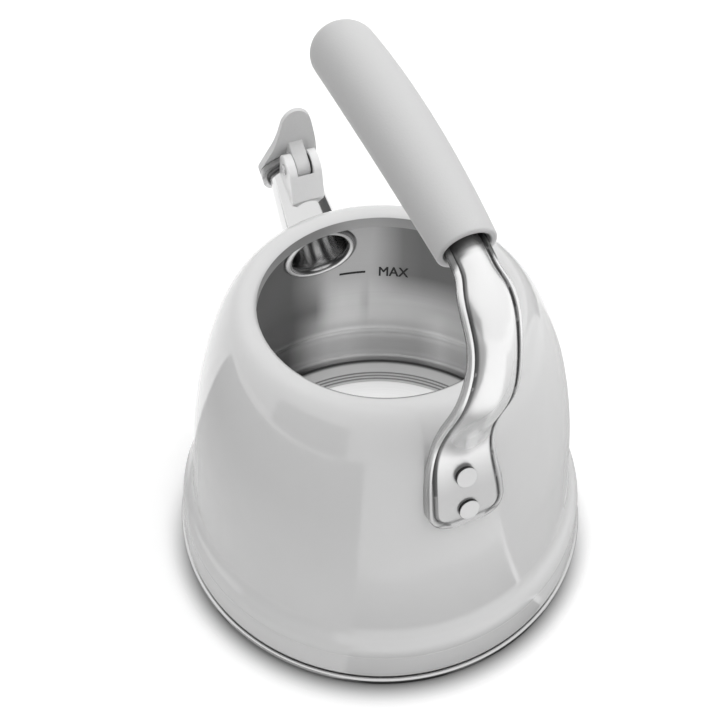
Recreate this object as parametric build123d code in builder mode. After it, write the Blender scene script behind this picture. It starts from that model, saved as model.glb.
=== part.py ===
"""Stovetop whistling kettle, modelled as an assembly of separate pieces.

Frame: origin at the centre of the base on the hob, +Z up, +X towards the spout.
The handle's root is on the -X side and XZ is the plane of symmetry. Millimetres.
"""

import os
from math import asin, atan2, cos, radians, sin, sqrt

from build123d import *

os.makedirs("parts", exist_ok=True)

# Fits shared by several pieces
seat_gap = 0.1  # between pieces that are welded, pressed or riveted together
pin_fit = 0.03  # radial room of the hinge pin in the bracket's ears
turn_fit = 0.06  # radial room of the hinge pin in the cap's knuckle
close_gap = 0.3  # between the closed cap and the spout

# Base
base_r = 95.5  # outer radius of the steel base ring
base_t = 0.8  # sheet of the base cap
base_ring_h = 3.6  # height of the base ring's rolled edge
base_ring_round = 1.1  # rounding of the rolled edge
base_lap = 0.3  # how far the base ring stands out from the skirt's foot
skirt_corner = 6.0  # corner between the skirt's side and its floor flange
floor_clear = 2.3  # from the skirt's corner in to the floor disc
floor_lap = 3.9  # how far the floor disc stands on the skirt's flange
spreader_clear = 3.0  # from the skirt's flange in to the aluminium heat spreader
spreader_h = 5.2
floor_t = 1.0  # sheet of the floor disc
floor_foot_slope = 1.0  # how far the disc's side leans in
floor_corner = 4.0
floor_border = 17.9  # from the floor disc's foot in to its raised centre
floor_raised_h = 0.6
floor_rings = 3  # pressed rings around the raised centre
floor_ring_pitch = 2.0
floor_ring_depth = 0.5

# Body
sheet = 1.2  # body sheet
seam_z = 18.7  # seam between skirt and body
skirt_taper = 2.6  # from the skirt's foot in to the seam
shoulder_run = 5.8  # from the seam in to the crease between shoulder and wall
shoulder_rise = 10.3
wall_taper = 4.9  # from the crease in to the top of the straight wall
crest_z = 136.1  # highest line of the rolled lip
dome_h = 70.0  # from the top of the straight wall up to the crest
dome_rise = 30.0  # how long the dome keeps the wall's slope
dome_crown = 11.3  # how long the dome keeps level at its crest
mouth_r = 49.5  # inside of the lid's neck
lip_run = 4.8  # from the mouth's edge out to the crest
lip_drop = 1.4  # from the crest down to the mouth's edge
neck_depth = 5.5  # turned-down neck that guides the lid
mouth_round = 0.5

# Spout
spout_drop = 35.8  # from the crest down to where the spout's axis leaves the wall
spout_tilt = 31.0  # degrees above the horizontal
spout_reach = 38.4  # from the wall to the lip, along the axis
spout_root_r = 14.4
spout_tip_r = 10.6
spout_sheet = 1.0
spout_lip_round = 0.4
spout_inner_run = 9.0  # from the wall inwards, before the tube is trimmed to the ring
collar_r = 18.0  # pressed ring around the spout's root, inside the body
collar_t = 1.8

# Cap hinge, from the centre of the spout's lip: back along the axis, then up from it
hinge_back = 4.9
hinge_up = 19.2
hinge_pin_r = 1.5
hinge_head_r = 2.4
hinge_head_h = 0.9
knuckle_r = 5.4
knuckle_room = 0.9  # around the knuckle inside the bracket's slot
arm_w = 6.6
ear_r = 8.0
bracket_w = 15.0
bracket_back = 19.2  # from the lip back to the bracket's heel
bracket_heel_h = 1.0  # thickness of the bracket's back edge above the spout
saddle_front = 3.0  # from the lip back to the front of the bracket's saddle
saddle_low = 5.5  # lower edge of the saddle, above the spout's axis
washer_t = 0.4
washer_side_gap = 0.2  # between washer and knuckle
washer_r = 5.0
screw_r = 1.5
screw_head_r = 2.6
screw_head_h = 1.2
screw_grip = 3.2  # length of the screw in the bracket

# Cap
cap_r = 13.8  # round part that closes the spout
cap_t = 3.2
cap_front = 7.2  # from the spout's lip to the front of the cap
paddle_top = 40.8  # from the spout's axis to the top of the thumb paddle
paddle_top_r = 7.0
paddle_from = 10.0  # degrees above the level at which the paddle leaves the round part
paddle_to = 13.5  # degrees above the level at which its side meets the rounded top
paddle_pull = 11.0  # how long its side keeps its direction at each end
paddle_bend_from = 20.0  # where the paddle starts to curve forward, above the spout's axis
paddle_forward = 5.4  # how far its top comes forward
guard_lap = 1.2  # how far the cap's drip guard reaches over the lip
guard_gap = 0.9  # radial room around the lip
guard_below = 2.0  # the drip guard starts this far below the axis
holder_t = 2.4  # ring of the holder behind the cap's plate
tongue_rise = 1.5  # how far the hinge arm's back slopes up from the knuckle to the plate

# Whistle
whistle_r = 9.6
whistle_sheet = 0.6
whistle_window_r = 7.5
whistle_front_t = 0.8  # rim of the cap in front of the whistle
whistle_disc_t = 0.5
whistle_hole_r = 1.3
whistle_recess = 0.5  # from the whistle's ends to its discs
seal_r = 11.2

# Handle strap
strap_t = 3.0
pad_w = 31.0
pad_corner = 8.5  # rounding of the pad's lower corners
pad_h = 26.5
pad_drop = 18.1  # from the crest down to where the strap leaves the wall
strap_path = ((5.6, 28.2), (11.9, 45.6), (13.8, 61.5), (10.8, 75.9), (3.2, 85.2))  # out and up from there
strap_widths = ((2.0, 26.4), (28.2, 23.3), (52.0, 21.6), (75.9, 19.0), (86.6, 17.0))  # at heights from there
strap_top_w = 14.4
strap_top = 89.6  # the strap keeps its top width from here on
strap_domes = (  # raised back of the strap: share of its length, half width, half height
    (0.155, 8.0, 1.55),
    (0.20, 10.6, 2.6),
    (0.27, 10.6, 4.0),
    (0.40, 9.8, 4.8),
    (0.52, 9.2, 5.0),
    (0.64, 8.0, 5.0),
)
strap_dome_end = (5.8, 4.8)  # half width and height where it enters the grip
tang_len = 34.0  # part of the strap inside the grip's core
rivet_up = (7.3, 21.1)  # from the pad's lower edge
rivet_r = 2.2
rivet_head_r = 3.75
rivet_head_h = 2.6
rivet_head_round = 0.6
rivet_washer_r = 4.6
rivet_washer_t = 1.0
rivet_tail_r = 3.4
rivet_tail_h = 1.0

# Grip
grip_near_at = (-9.1, 91.4)  # middle of the grip's cut end, out and up from where the strap leaves the wall
grip_run = (108.0, 11.3)  # from the cut end to the rounded free end, forward and up
grip_arch = 3.5  # rise of the grip's axis above its chord
grip_near_size = (19.8, 17.8)  # width and height
grip_mid_size = (24.4, 21.6)
grip_far_size = (24.2, 22.0)
grip_end_round = 9.0
grip_wall = 2.2
grip_mouth_depth = 7.0  # open length of the sleeve before the core
core_far_gap = 4.0
tang_pin_r = 1.5
tang_pin_at = (12.0, 24.0)  # from the core's near end

# Profile of the body
skirt_r = base_r - base_lap  # where the skirt's side and floor would meet without their corner
seam_r = skirt_r - skirt_taper
crease_r = seam_r - shoulder_run
crease_z = seam_z + shoulder_rise
knee_r = crease_r - wall_taper
knee_z = crest_z - dome_h
wall_lean = atan2(crease_r - knee_r, knee_z - crease_z)
wall_out = Vector(cos(wall_lean), sin(wall_lean))
wall_up = Vector(-sin(wall_lean), cos(wall_lean))
crease = Vector(crease_r, crease_z)
mouth_z = crest_z - lip_drop
neck_low_z = mouth_z - neck_depth
crest_r = mouth_r + lip_run
lip_r = (lip_run**2 + lip_drop**2) / (2 * lip_drop)
shoulder_r = (shoulder_run**2 + shoulder_rise**2) / (2 * shoulder_run)
shoulder_centre = Vector(seam_r - shoulder_r, seam_z)


def dome_poles(inset):
    """Control points of the dome's curve, moved in from the outer face by inset."""
    knee = Vector(knee_r, knee_z) - wall_out * inset
    crest = Vector(crest_r, crest_z - inset)
    return [knee, knee + wall_up * dome_rise, crest + Vector(dome_crown - inset, 0), crest]


def crease_point(inset):
    """Where the shoulder's arc meets the straight wall."""
    start = crease - wall_out * inset - shoulder_centre
    along = start.dot(wall_up)
    radius = shoulder_r - inset
    root = sqrt(along**2 - start.dot(start) + radius**2)
    step = min(-along + root, -along - root, key=abs)
    return start + wall_up * step + shoulder_centre


def lip_point(inset):
    """Where the rolled lip meets the neck."""
    reach = lip_run - inset
    return Vector(mouth_r + inset, crest_z - lip_r + sqrt((lip_r - inset) ** 2 - reach**2))


def rims(some_edges, radius):
    """The round edges of a given radius."""
    return some_edges.filter_by(GeomType.CIRCLE).filter_by(lambda e: abs(e.radius - radius) < 0.01)


def bezier_point(poles, t):
    while len(poles) > 1:
        poles = [a * (1 - t) + b * t for a, b in zip(poles, poles[1:])]
    return poles[0]


def wall_point(height):
    """Point of the outer wall at a height, and its outward direction, both as (radius, z)."""
    if height <= knee_z:
        return Vector(knee_r + (knee_z - height) * sin(wall_lean) / cos(wall_lean), height), wall_out
    poles = dome_poles(0)
    low, high = 0.0, 1.0
    for _ in range(40):
        middle = (low + high) / 2
        if bezier_point(poles, middle).Y < height:
            low = middle
        else:
            high = middle
    ahead = (bezier_point(poles, low + 0.001) - bezier_point(poles, low - 0.001)).normalized()
    return bezier_point(poles, low), Vector(ahead.Y, -ahead.X)


def body_side(inset):
    """Wall profile from the seam to the mouth, drawn inside a BuildLine."""
    foot = Vector(seam_r - inset, seam_z)
    bend = crease_point(inset)
    poles = dome_poles(inset)
    lip = lip_point(inset)
    half_turn = asin((lip_run - inset) / (lip_r - inset)) / 2
    mid = Vector(crest_r, crest_z - lip_r) + Vector(-sin(half_turn), cos(half_turn)) * (lip_r - inset)
    TangentArc(foot, bend, tangent=(0, 1))
    Line(bend, poles[0])
    Bezier(*poles)
    ThreePointArc(poles[-1], mid, lip)
    Line(lip, (lip.X, neck_low_z))


def filled_body(inset):
    """Solid bounded by the wall's profile, from the seam to the neck's lower edge."""
    with BuildPart() as filled:
        with BuildSketch(Plane.XZ):
            with BuildLine():
                body_side(inset)
                Polyline(
                    (mouth_r + inset, neck_low_z), (0, neck_low_z), (0, seam_z), (seam_r - inset, seam_z)
                )
            make_face()
        revolve(axis=Axis.Z)
    return filled.part


outer_body = filled_body(-seat_gap)
cavity = filled_body(sheet + seat_gap)
inner_room = filled_body(sheet + collar_t)  # what is left inside the spout's ring

# Frame of the spout: s runs out along its axis from the lip, n up from the axis
spout_rad = radians(spout_tilt)
spout_dir = Vector(cos(spout_rad), 0, sin(spout_rad))
spout_up = Vector(-sin(spout_rad), 0, cos(spout_rad))
spout_z = crest_z - spout_drop
spout_root = Vector(wall_point(spout_z)[0].X, 0, spout_z)
spout_tip = spout_root + spout_dir * spout_reach
spout_axis = Axis(spout_tip, spout_dir)
spout_side = Plane(spout_tip, x_dir=spout_dir, z_dir=(0, -1, 0))
spout_face = Plane(spout_tip, x_dir=(0, 1, 0), z_dir=spout_dir)
spout_slope = (spout_root_r - spout_tip_r) / spout_reach
spout_inner_end = -spout_reach - spout_inner_run
hinge = (-hinge_back, hinge_up)
ears_span = bracket_w / 2


def spout_radius(s):
    return spout_tip_r - spout_slope * s


def spout_cone(gap, s_from, s_to):
    """Solid cone along the spout, wider than its tube by gap."""
    with BuildPart() as cone:
        with BuildSketch(spout_side):
            with BuildLine():
                Polyline(
                    (s_from, 0),
                    (s_from, spout_radius(s_from) + gap),
                    (s_to, spout_radius(s_to) + gap),
                    (s_to, 0),
                    close=True,
                )
            make_face()
        revolve(axis=spout_axis)
    return cone.part


spout_hole = spout_cone(seat_gap, spout_inner_end, 0)

# Radii of the pieces that stand inside one another in the base
floor_foot_r = skirt_r - skirt_corner - floor_clear
skirt_flange_r = floor_foot_r - floor_lap
spreader_r = skirt_flange_r - spreader_clear
floor_raised_r = floor_foot_r - floor_border

# Base cap: steel plate under the kettle, rolled up around the skirt's corner
skirt_lean = atan2(skirt_r - seam_r, seam_z - base_t)
corner_z = base_t + skirt_corner
corner_r = seam_r + ((seam_z - corner_z) * sin(skirt_lean) - skirt_corner) / cos(skirt_lean)
rim_hug = skirt_corner + seat_gap

with BuildPart() as base_cap:
    with BuildSketch(Plane.XZ):
        with BuildLine():
            hug_low = (corner_r + sqrt(rim_hug**2 - skirt_corner**2), base_t)
            hug_high = (corner_r + sqrt(rim_hug**2 - (corner_z - base_ring_h) ** 2), base_ring_h)
            Polyline(hug_high, (base_r, base_ring_h), (base_r, 0), (0, 0), (0, base_t), hug_low)
            RadiusArc(hug_low, hug_high, -rim_hug)
        make_face()
    revolve(axis=Axis.Z)
    fillet(rims(edges(), base_r), base_ring_round)
base_cap.part.label = "base_cap"
export_step(base_cap.part, "parts/base_cap.step")

# Heat spreader: aluminium disc between the base cap and the floor
with BuildPart() as heat_spreader:
    with BuildSketch(Plane.XY.offset(base_t)):
        Circle(spreader_r)
    extrude(amount=spreader_h)
    chamfer(edges().group_by(Axis.Z)[-1], floor_t / 2)
heat_spreader.part.label = "heat_spreader"
export_step(heat_spreader.part, "parts/heat_spreader.step")

# Floor disc: pressed steel floor of the kettle, standing on the skirt's flange
flange_top = base_t + sheet
floor_low = base_t + spreader_h
floor_top = floor_low + floor_t
ring_r = [floor_raised_r + (i + 1) * floor_ring_pitch for i in range(floor_rings)]

with BuildPart() as floor_disc:
    with BuildSketch(Plane.XZ):
        with BuildLine():
            floor_head_r = floor_foot_r - floor_foot_slope
            FilletPolyline(
                (floor_foot_r, flange_top),
                (floor_head_r, floor_top),
                (floor_raised_r, floor_top),
                radius=floor_corner,
            )
            Polyline(
                (floor_raised_r, floor_top),
                (floor_raised_r - floor_raised_h, floor_top + floor_raised_h),
                (0, floor_top + floor_raised_h),
                (0, floor_low),
            )
            FilletPolyline(
                (0, floor_low),
                (floor_head_r - floor_t, floor_low),
                (floor_foot_r - floor_t, flange_top),
                radius=floor_corner - floor_t,
            )
            Line((floor_foot_r - floor_t, flange_top), (floor_foot_r, flange_top))
        make_face()
        with Locations(*[(r, floor_top) for r in ring_r]):
            Circle(floor_ring_depth, mode=Mode.SUBTRACT)
    revolve(axis=Axis.Z)
floor_disc.part.label = "floor_disc"
export_step(floor_disc.part, "parts/floor_disc.step")

# Base skirt: enamelled band with the floor flange turned in at its foot
with BuildPart() as base_skirt:
    with BuildSketch(Plane.XZ):
        with BuildLine():
            side_in = sheet / cos(skirt_lean)
            FilletPolyline(
                (seam_r, seam_z), (skirt_r, base_t), (skirt_flange_r, base_t), radius=skirt_corner
            )
            Line((skirt_flange_r, base_t), (skirt_flange_r, flange_top))
            FilletPolyline(
                (skirt_flange_r, flange_top),
                (skirt_r - side_in, flange_top),
                (seam_r - sheet, seam_z),
                radius=skirt_corner - sheet,
            )
            Line((seam_r - sheet, seam_z), (seam_r, seam_z))
        make_face()
    revolve(axis=Axis.Z)
base_skirt.part.label = "base_skirt"
export_step(base_skirt.part, "parts/base_skirt.step")

# Rivets: each one stands square to the wall at its height, on the handle's side
pad_high_z = crest_z - pad_drop
pad_low_z = pad_high_z - pad_h
rivet_planes = []
for height in [pad_low_z + up for up in rivet_up]:
    foot, out = wall_point(height)
    rivet_planes.append(Plane((-foot.X, 0, foot.Y), x_dir=(0, 1, 0), z_dir=(-out.X, 0, out.Y)))
rivet_reach = sheet + rivet_washer_t + 4 * seat_gap

# Body shell: wall, dome, rolled lip and turned-down neck in one sheet
with BuildPart() as body_shell:
    with BuildSketch(Plane.XZ):
        with BuildLine():
            body_side(0)
            Line((mouth_r, neck_low_z), (mouth_r + sheet, neck_low_z))
            body_side(sheet)
            Line((seam_r, seam_z), (seam_r - sheet, seam_z))
        make_face()
    revolve(axis=Axis.Z)
    fillet(rims(edges(), mouth_r).sort_by(Axis.Z)[-1], mouth_round)
    add(spout_hole, mode=Mode.SUBTRACT)
    for plane in rivet_planes:
        with BuildSketch(plane.offset(-rivet_reach)):
            Circle(rivet_r + seat_gap)
        extrude(amount=2 * rivet_reach, mode=Mode.SUBTRACT)
body_shell.part.label = "body_shell"
export_step(body_shell.part, "parts/body_shell.step")

# Spout tube: tapered tube through the wall, with a softened lip
screw_s = -bracket_back + (bracket_back - hinge_back - knuckle_r - knuckle_room) / 2
screw_bore_r = spout_radius(screw_s) - spout_sheet
screw_plane = Plane(
    spout_tip + spout_dir * screw_s + spout_up * screw_bore_r, x_dir=(0, 1, 0), z_dir=spout_up
)

with BuildPart() as spout_tube:
    with BuildSketch(spout_side):
        with BuildLine():
            Polyline(
                (spout_inner_end, spout_radius(spout_inner_end)),
                (0, spout_tip_r),
                (0, spout_tip_r - spout_sheet),
                (spout_inner_end, spout_radius(spout_inner_end) - spout_sheet),
                close=True,
            )
        make_face()
    revolve(axis=spout_axis)
    fillet(edges().filter_by(GeomType.CIRCLE).sort_by(spout_axis)[-2:], spout_lip_round)
    add(inner_room, mode=Mode.SUBTRACT)
    with BuildSketch(screw_plane.offset(-spout_sheet)):
        Circle(screw_r + seat_gap)
    extrude(amount=3 * spout_sheet, mode=Mode.SUBTRACT)
spout_tube.part.label = "spout_tube"
export_step(spout_tube.part, "parts/spout_tube.step")

# Spout collar: pressed ring around the spout's root, shaped to the inside of the wall
with BuildPart() as spout_collar:
    with BuildSketch(spout_face.offset(spout_inner_end)):
        Circle(collar_r)
    extrude(amount=2 * spout_inner_run)
    add(cavity, mode=Mode.INTERSECT)
    add(inner_room, mode=Mode.SUBTRACT)
    add(spout_hole, mode=Mode.SUBTRACT)
spout_collar.part.label = "spout_collar"
export_step(spout_collar.part, "parts/spout_collar.step")

# Spout bracket: clevis that sits astride the spout and carries the cap's hinge
slot_r = knuckle_r + knuckle_room
slot_w = arm_w + 2 * (washer_t + washer_side_gap)

with BuildPart() as spout_bracket:
    with BuildSketch(spout_side):
        with Locations(hinge):
            Circle(ear_r)
        heel_n = spout_radius(-bracket_back) + bracket_heel_h
        with BuildLine():
            Polyline(
                (-bracket_back, saddle_low),
                (-saddle_front, saddle_low),
                hinge,
                (-bracket_back, heel_n),
                close=True,
            )
        make_face()
        make_hull()
    extrude(amount=bracket_w / 2, both=True)
    add(spout_cone(seat_gap, -bracket_back * 2, spout_reach), mode=Mode.SUBTRACT)
    with BuildSketch(spout_side):
        with Locations(hinge):
            Circle(slot_r)
            Rectangle(ear_r * 2, hinge_up * 2, align=(Align.MIN, Align.CENTER))
            Rectangle(slot_r * 2, ear_r * 2, align=(Align.CENTER, Align.MIN))
    extrude(amount=slot_w / 2, both=True, mode=Mode.SUBTRACT)
    with BuildSketch(spout_side):
        with Locations(hinge):
            Circle(hinge_pin_r + pin_fit)
    extrude(amount=bracket_w, both=True, mode=Mode.SUBTRACT)
    with BuildSketch(screw_plane):
        Circle(screw_r + seat_gap)
    extrude(amount=spout_sheet + screw_grip + seat_gap, mode=Mode.SUBTRACT)
spout_bracket.part.label = "spout_bracket"
export_step(spout_bracket.part, "parts/spout_bracket.step")

# Bracket screw: holds the bracket from inside the spout
head_bore_r = spout_radius(screw_s + screw_head_r) - spout_sheet
screw_drop = screw_bore_r - sqrt(head_bore_r**2 - screw_head_r**2) + seat_gap

with BuildPart() as bracket_screw:
    with BuildSketch(screw_plane.offset(-screw_drop)):
        Circle(screw_r)
    extrude(amount=screw_drop + spout_sheet + screw_grip)
    with BuildSketch(screw_plane.offset(-screw_drop)):
        Circle(screw_head_r)
    extrude(amount=-screw_head_h)
    fillet(edges().group_by(Axis(spout_tip, spout_up))[0], screw_head_h / 2)
bracket_screw.part.label = "bracket_screw"
export_step(bracket_screw.part, "parts/bracket_screw.step")

# Hinge pin: through both ears and the cap's knuckle, with a domed head at each end
with BuildPart() as hinge_pin:
    with BuildSketch(spout_side):
        with Locations(hinge):
            Circle(hinge_pin_r)
    extrude(amount=ears_span, both=True)
    for side in (1, -1):
        with BuildSketch(spout_side.offset(side * ears_span)):
            with Locations(hinge):
                Circle(hinge_head_r)
        extrude(amount=side * hinge_head_h)
    fillet(edges().group_by(Axis.Y)[0] + edges().group_by(Axis.Y)[-1], hinge_head_h / 2)
hinge_pin.part.label = "hinge_pin"
export_step(hinge_pin.part, "parts/hinge_pin.step")

# Hinge washers: one against each ear, they give the hinge its drag
with BuildPart() as hinge_washers:
    for side in (1, -1):
        with BuildSketch(spout_side.offset(side * (slot_w / 2 - washer_t))):
            with Locations(hinge):
                Circle(washer_r)
                Circle(hinge_pin_r + pin_fit, mode=Mode.SUBTRACT)
        extrude(amount=side * washer_t)
hinge_washers.part.label = "hinge_washers"
export_step(hinge_washers.part, "parts/hinge_washers.step")

# Cap cover: round plate, a thumb paddle that curves forward, and the hinge arm behind it
cap_back = cap_front - cap_t
guard_r = spout_tip_r + guard_gap
cup_r = whistle_r + seat_gap
paddle_top_at = paddle_top - paddle_top_r
arm_low = hinge_up - knuckle_r


def cap_curve(s):
    """One face of the cap's plate, seen from the side: straight, then curving forward."""
    low, bend, tip = (s, -cap_r), (s, paddle_bend_from), (s + paddle_forward, paddle_top)
    Line(low, bend)
    TangentArc(bend, tip, tangent=(0, 1))
    return low, tip


with BuildPart() as cap_cover:
    with BuildSketch(spout_side):
        with BuildLine():
            front_low, front_tip = cap_curve(cap_front)
            back_low, back_tip = cap_curve(cap_back)
            Line(front_low, back_low)
            Line(front_tip, back_tip)
        make_face()
    extrude(amount=2 * cap_r, both=True)
    with BuildSketch(spout_face):
        with BuildLine():
            low_turn, top_turn = radians(paddle_from), radians(paddle_to)
            side_low = Vector(cos(low_turn), sin(low_turn)) * cap_r
            side_top = Vector(cos(top_turn), sin(top_turn)) * paddle_top_r + Vector(0, paddle_top_at)
            CenterArc((0, 0), cap_r, -90, 90 + paddle_from)
            Bezier(
                side_low,
                side_low + Vector(-sin(low_turn), cos(low_turn)) * paddle_pull,
                side_top - Vector(-sin(top_turn), cos(top_turn)) * paddle_pull,
                side_top,
            )
            CenterArc((0, paddle_top_at), paddle_top_r, paddle_to, 90 - paddle_to)
            Line((0, paddle_top), (0, -cap_r))
        make_face()
        mirror(about=Plane.YZ)
    extrude(amount=cap_front + paddle_forward + cap_t, mode=Mode.INTERSECT)
    with BuildSketch(spout_side):
        with Locations(hinge):
            Circle(knuckle_r)
        with BuildLine():
            arm_end = cap_back + cap_t / 2
            Polyline(hinge, (arm_end, arm_low), (arm_end, hinge_up + knuckle_r + tongue_rise), close=True)
        make_face()
        make_hull()
    extrude(amount=arm_w / 2, both=True)
    with BuildSketch(spout_side):
        with Locations(hinge):
            Circle(hinge_pin_r + turn_fit)
    extrude(amount=arm_w, both=True, mode=Mode.SUBTRACT)
    with BuildSketch(spout_face):
        Circle(cup_r)
    extrude(amount=cap_front - whistle_front_t, mode=Mode.SUBTRACT)
    with BuildSketch(spout_face):
        Circle(whistle_window_r)
    extrude(amount=cap_front + cap_t, mode=Mode.SUBTRACT)
cap_cover.part.label = "cap_cover"
export_step(cap_cover.part, "parts/cap_cover.step")

# Cap holder: ring behind the plate, with the drip guard below the spout's lip
holder_front = cap_back - seat_gap

with BuildPart() as cap_holder:
    with BuildSketch(spout_face.offset(holder_front)):
        Circle(cap_r)
        Circle(seal_r + seat_gap, mode=Mode.SUBTRACT)
        with Locations((0, arm_low - 2 * seat_gap)):
            Rectangle(
                arm_w + 2 * seat_gap, cap_r, align=(Align.CENTER, Align.MIN), mode=Mode.SUBTRACT
            )
    extrude(amount=-holder_t)
    with BuildSketch(spout_face.offset(holder_front)):
        Circle(cap_r)
        Circle(guard_r, mode=Mode.SUBTRACT)
        with Locations((0, -guard_below)):
            Rectangle(2 * cap_r, cap_r, align=(Align.CENTER, Align.MAX), mode=Mode.INTERSECT)
    extrude(amount=-holder_front - guard_lap)
cap_holder.part.label = "cap_holder"
export_step(cap_holder.part, "parts/cap_holder.step")

# Cap seal: soft ring around the whistle that meets the spout's lip
with BuildPart() as cap_seal:
    with BuildSketch(spout_face.offset(close_gap)):
        Circle(seal_r)
        Circle(whistle_r + seat_gap, mode=Mode.SUBTRACT)
    extrude(amount=cap_back - close_gap)
    fillet(rims(edges(), seal_r).group_by(spout_axis)[0], close_gap)
cap_seal.part.label = "cap_seal"
export_step(cap_seal.part, "parts/cap_seal.step")

# Whistle: a steel cup and two pierced discs, pressed into the cap from behind
whistle_from = close_gap
whistle_to = cap_front - whistle_front_t

with BuildPart() as whistle_cup:
    with BuildSketch(spout_face.offset(whistle_from)):
        Circle(whistle_r)
        Circle(whistle_r - whistle_sheet, mode=Mode.SUBTRACT)
    extrude(amount=whistle_to - whistle_from)
whistle_cup.part.label = "whistle_cup"
export_step(whistle_cup.part, "parts/whistle_cup.step")

with BuildPart() as whistle_rear_disc:
    with BuildSketch(spout_face.offset(whistle_from + whistle_recess)):
        Circle(whistle_r - whistle_sheet - seat_gap / 2)
        Circle(whistle_hole_r, mode=Mode.SUBTRACT)
    extrude(amount=whistle_disc_t)
whistle_rear_disc.part.label = "whistle_rear_disc"
export_step(whistle_rear_disc.part, "parts/whistle_rear_disc.step")

with BuildPart() as whistle_front_disc:
    with BuildSketch(spout_face.offset(whistle_to - whistle_recess - whistle_disc_t)):
        Circle(whistle_r - whistle_sheet - seat_gap / 2)
        Circle(whistle_hole_r, mode=Mode.SUBTRACT)
    extrude(amount=whistle_disc_t)
whistle_front_disc.part.label = "whistle_front_disc"
export_step(whistle_front_disc.part, "parts/whistle_front_disc.step")

# Grip axis: a flat arch in the plane of symmetry, from the cut end to the rounded one
strap_root = wall_point(pad_high_z)[0]
grip_near = Vector(-strap_root.X - grip_near_at[0], strap_root.Y + grip_near_at[1])
grip_far = grip_near + Vector(*grip_run)
grip_chord = (grip_far - grip_near).length
grip_ahead = (grip_far - grip_near).normalized()
grip_over = Vector(-grip_ahead.Y, grip_ahead.X)


def grip_point(share):
    """Point of the grip's axis at a share of its chord, and the axis's direction there."""
    rise = 4 * grip_arch * share * (1 - share)
    slope = 4 * grip_arch * (1 - 2 * share) / grip_chord
    return (
        grip_near + grip_ahead * (grip_chord * share) + grip_over * rise,
        (grip_ahead + grip_over * slope).normalized(),
    )


def grip_plane(share):
    point, ahead = grip_point(share)
    return Plane((point.X, 0, point.Y), x_dir=(0, 1, 0), z_dir=(ahead.X, 0, ahead.Y))


def grip_size(share):
    """Width and height of the grip, curved through its near, middle and far sizes."""
    weights = (
        (1 - share) * (1 - 2 * share),
        4 * share * (1 - share),
        share * (2 * share - 1),
    )
    sizes = (grip_near_size, grip_mid_size, grip_far_size)
    return tuple(sum(w * size[i] for w, size in zip(weights, sizes)) for i in range(2))


def grip_body(inset, share_from, share_to, end_round):
    """Loft along the grip's axis, inside its surface by inset, rounded at the far end."""
    with BuildPart() as body:
        for step in range(5):
            share = share_from + (share_to - share_from) * step / 4
            width, height = grip_size(share)
            with BuildSketch(grip_plane(share)):
                Ellipse(width / 2 - inset, height / 2 - inset)
        loft()
        fillet(edges().sort_by(Axis.X)[-1], end_round)
    return body.part


# Handle strap: runs up the wall from its riveted pad and bends over into the grip
core_from = grip_mouth_depth / grip_chord
core_to = 1 - (grip_wall + core_far_gap) / grip_chord
tang_to = (grip_mouth_depth + tang_len) / grip_chord
strap_half = strap_t / 2 + seat_gap


def beside_wall(height, lift):
    foot, out = wall_point(height)
    return Vector(-(foot.X + out.X * lift), foot.Y + out.Y * lift)


pad_heights = (pad_low_z, (pad_low_z + pad_high_z) / 2, pad_high_z)
pad_line = [beside_wall(height, strap_half) for height in pad_heights]
pad_out = wall_point(pad_low_z)[1]
tang_end = grip_point(tang_to)
tang_pin_planes = []
for distance in tang_pin_at:
    point, ahead = grip_point(core_from + distance / grip_chord)
    tang_pin_planes.append(Plane((point.X, 0, point.Y), x_dir=(0, 1, 0), z_dir=(-ahead.Y, 0, ahead.X)))


def strap_side(thickness):
    """Side view of the strap, drawn inside a BuildSketch on the plane of symmetry."""
    with BuildLine() as line:
        Spline(
            *pad_line,
            *[(-strap_root.X - out, strap_root.Y + up) for out, up in strap_path],
            grip_near,
            grip_point(core_from)[0],
            tang_end[0],
            tangents=[(pad_out.Y, pad_out.X), tang_end[1]],
        )
    trace(line.edges(), line_width=thickness)
    return line.line


def strap_dome(line):
    """Raised back of the strap, lofted through ellipses from above the rivets into the grip's mouth."""
    with BuildPart() as dome:
        for share, half_width, half_height in strap_domes:
            at, ahead = line @ share, line % share
            with BuildSketch(Plane((at.X, 0, at.Y), x_dir=(0, 1, 0), z_dir=(ahead.X, 0, ahead.Y))):
                Ellipse(half_width, half_height)
        for share in (0, core_from * 0.9):
            with BuildSketch(grip_plane(share)):
                Ellipse(*strap_dome_end)
        loft()
    return dome.part


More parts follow.
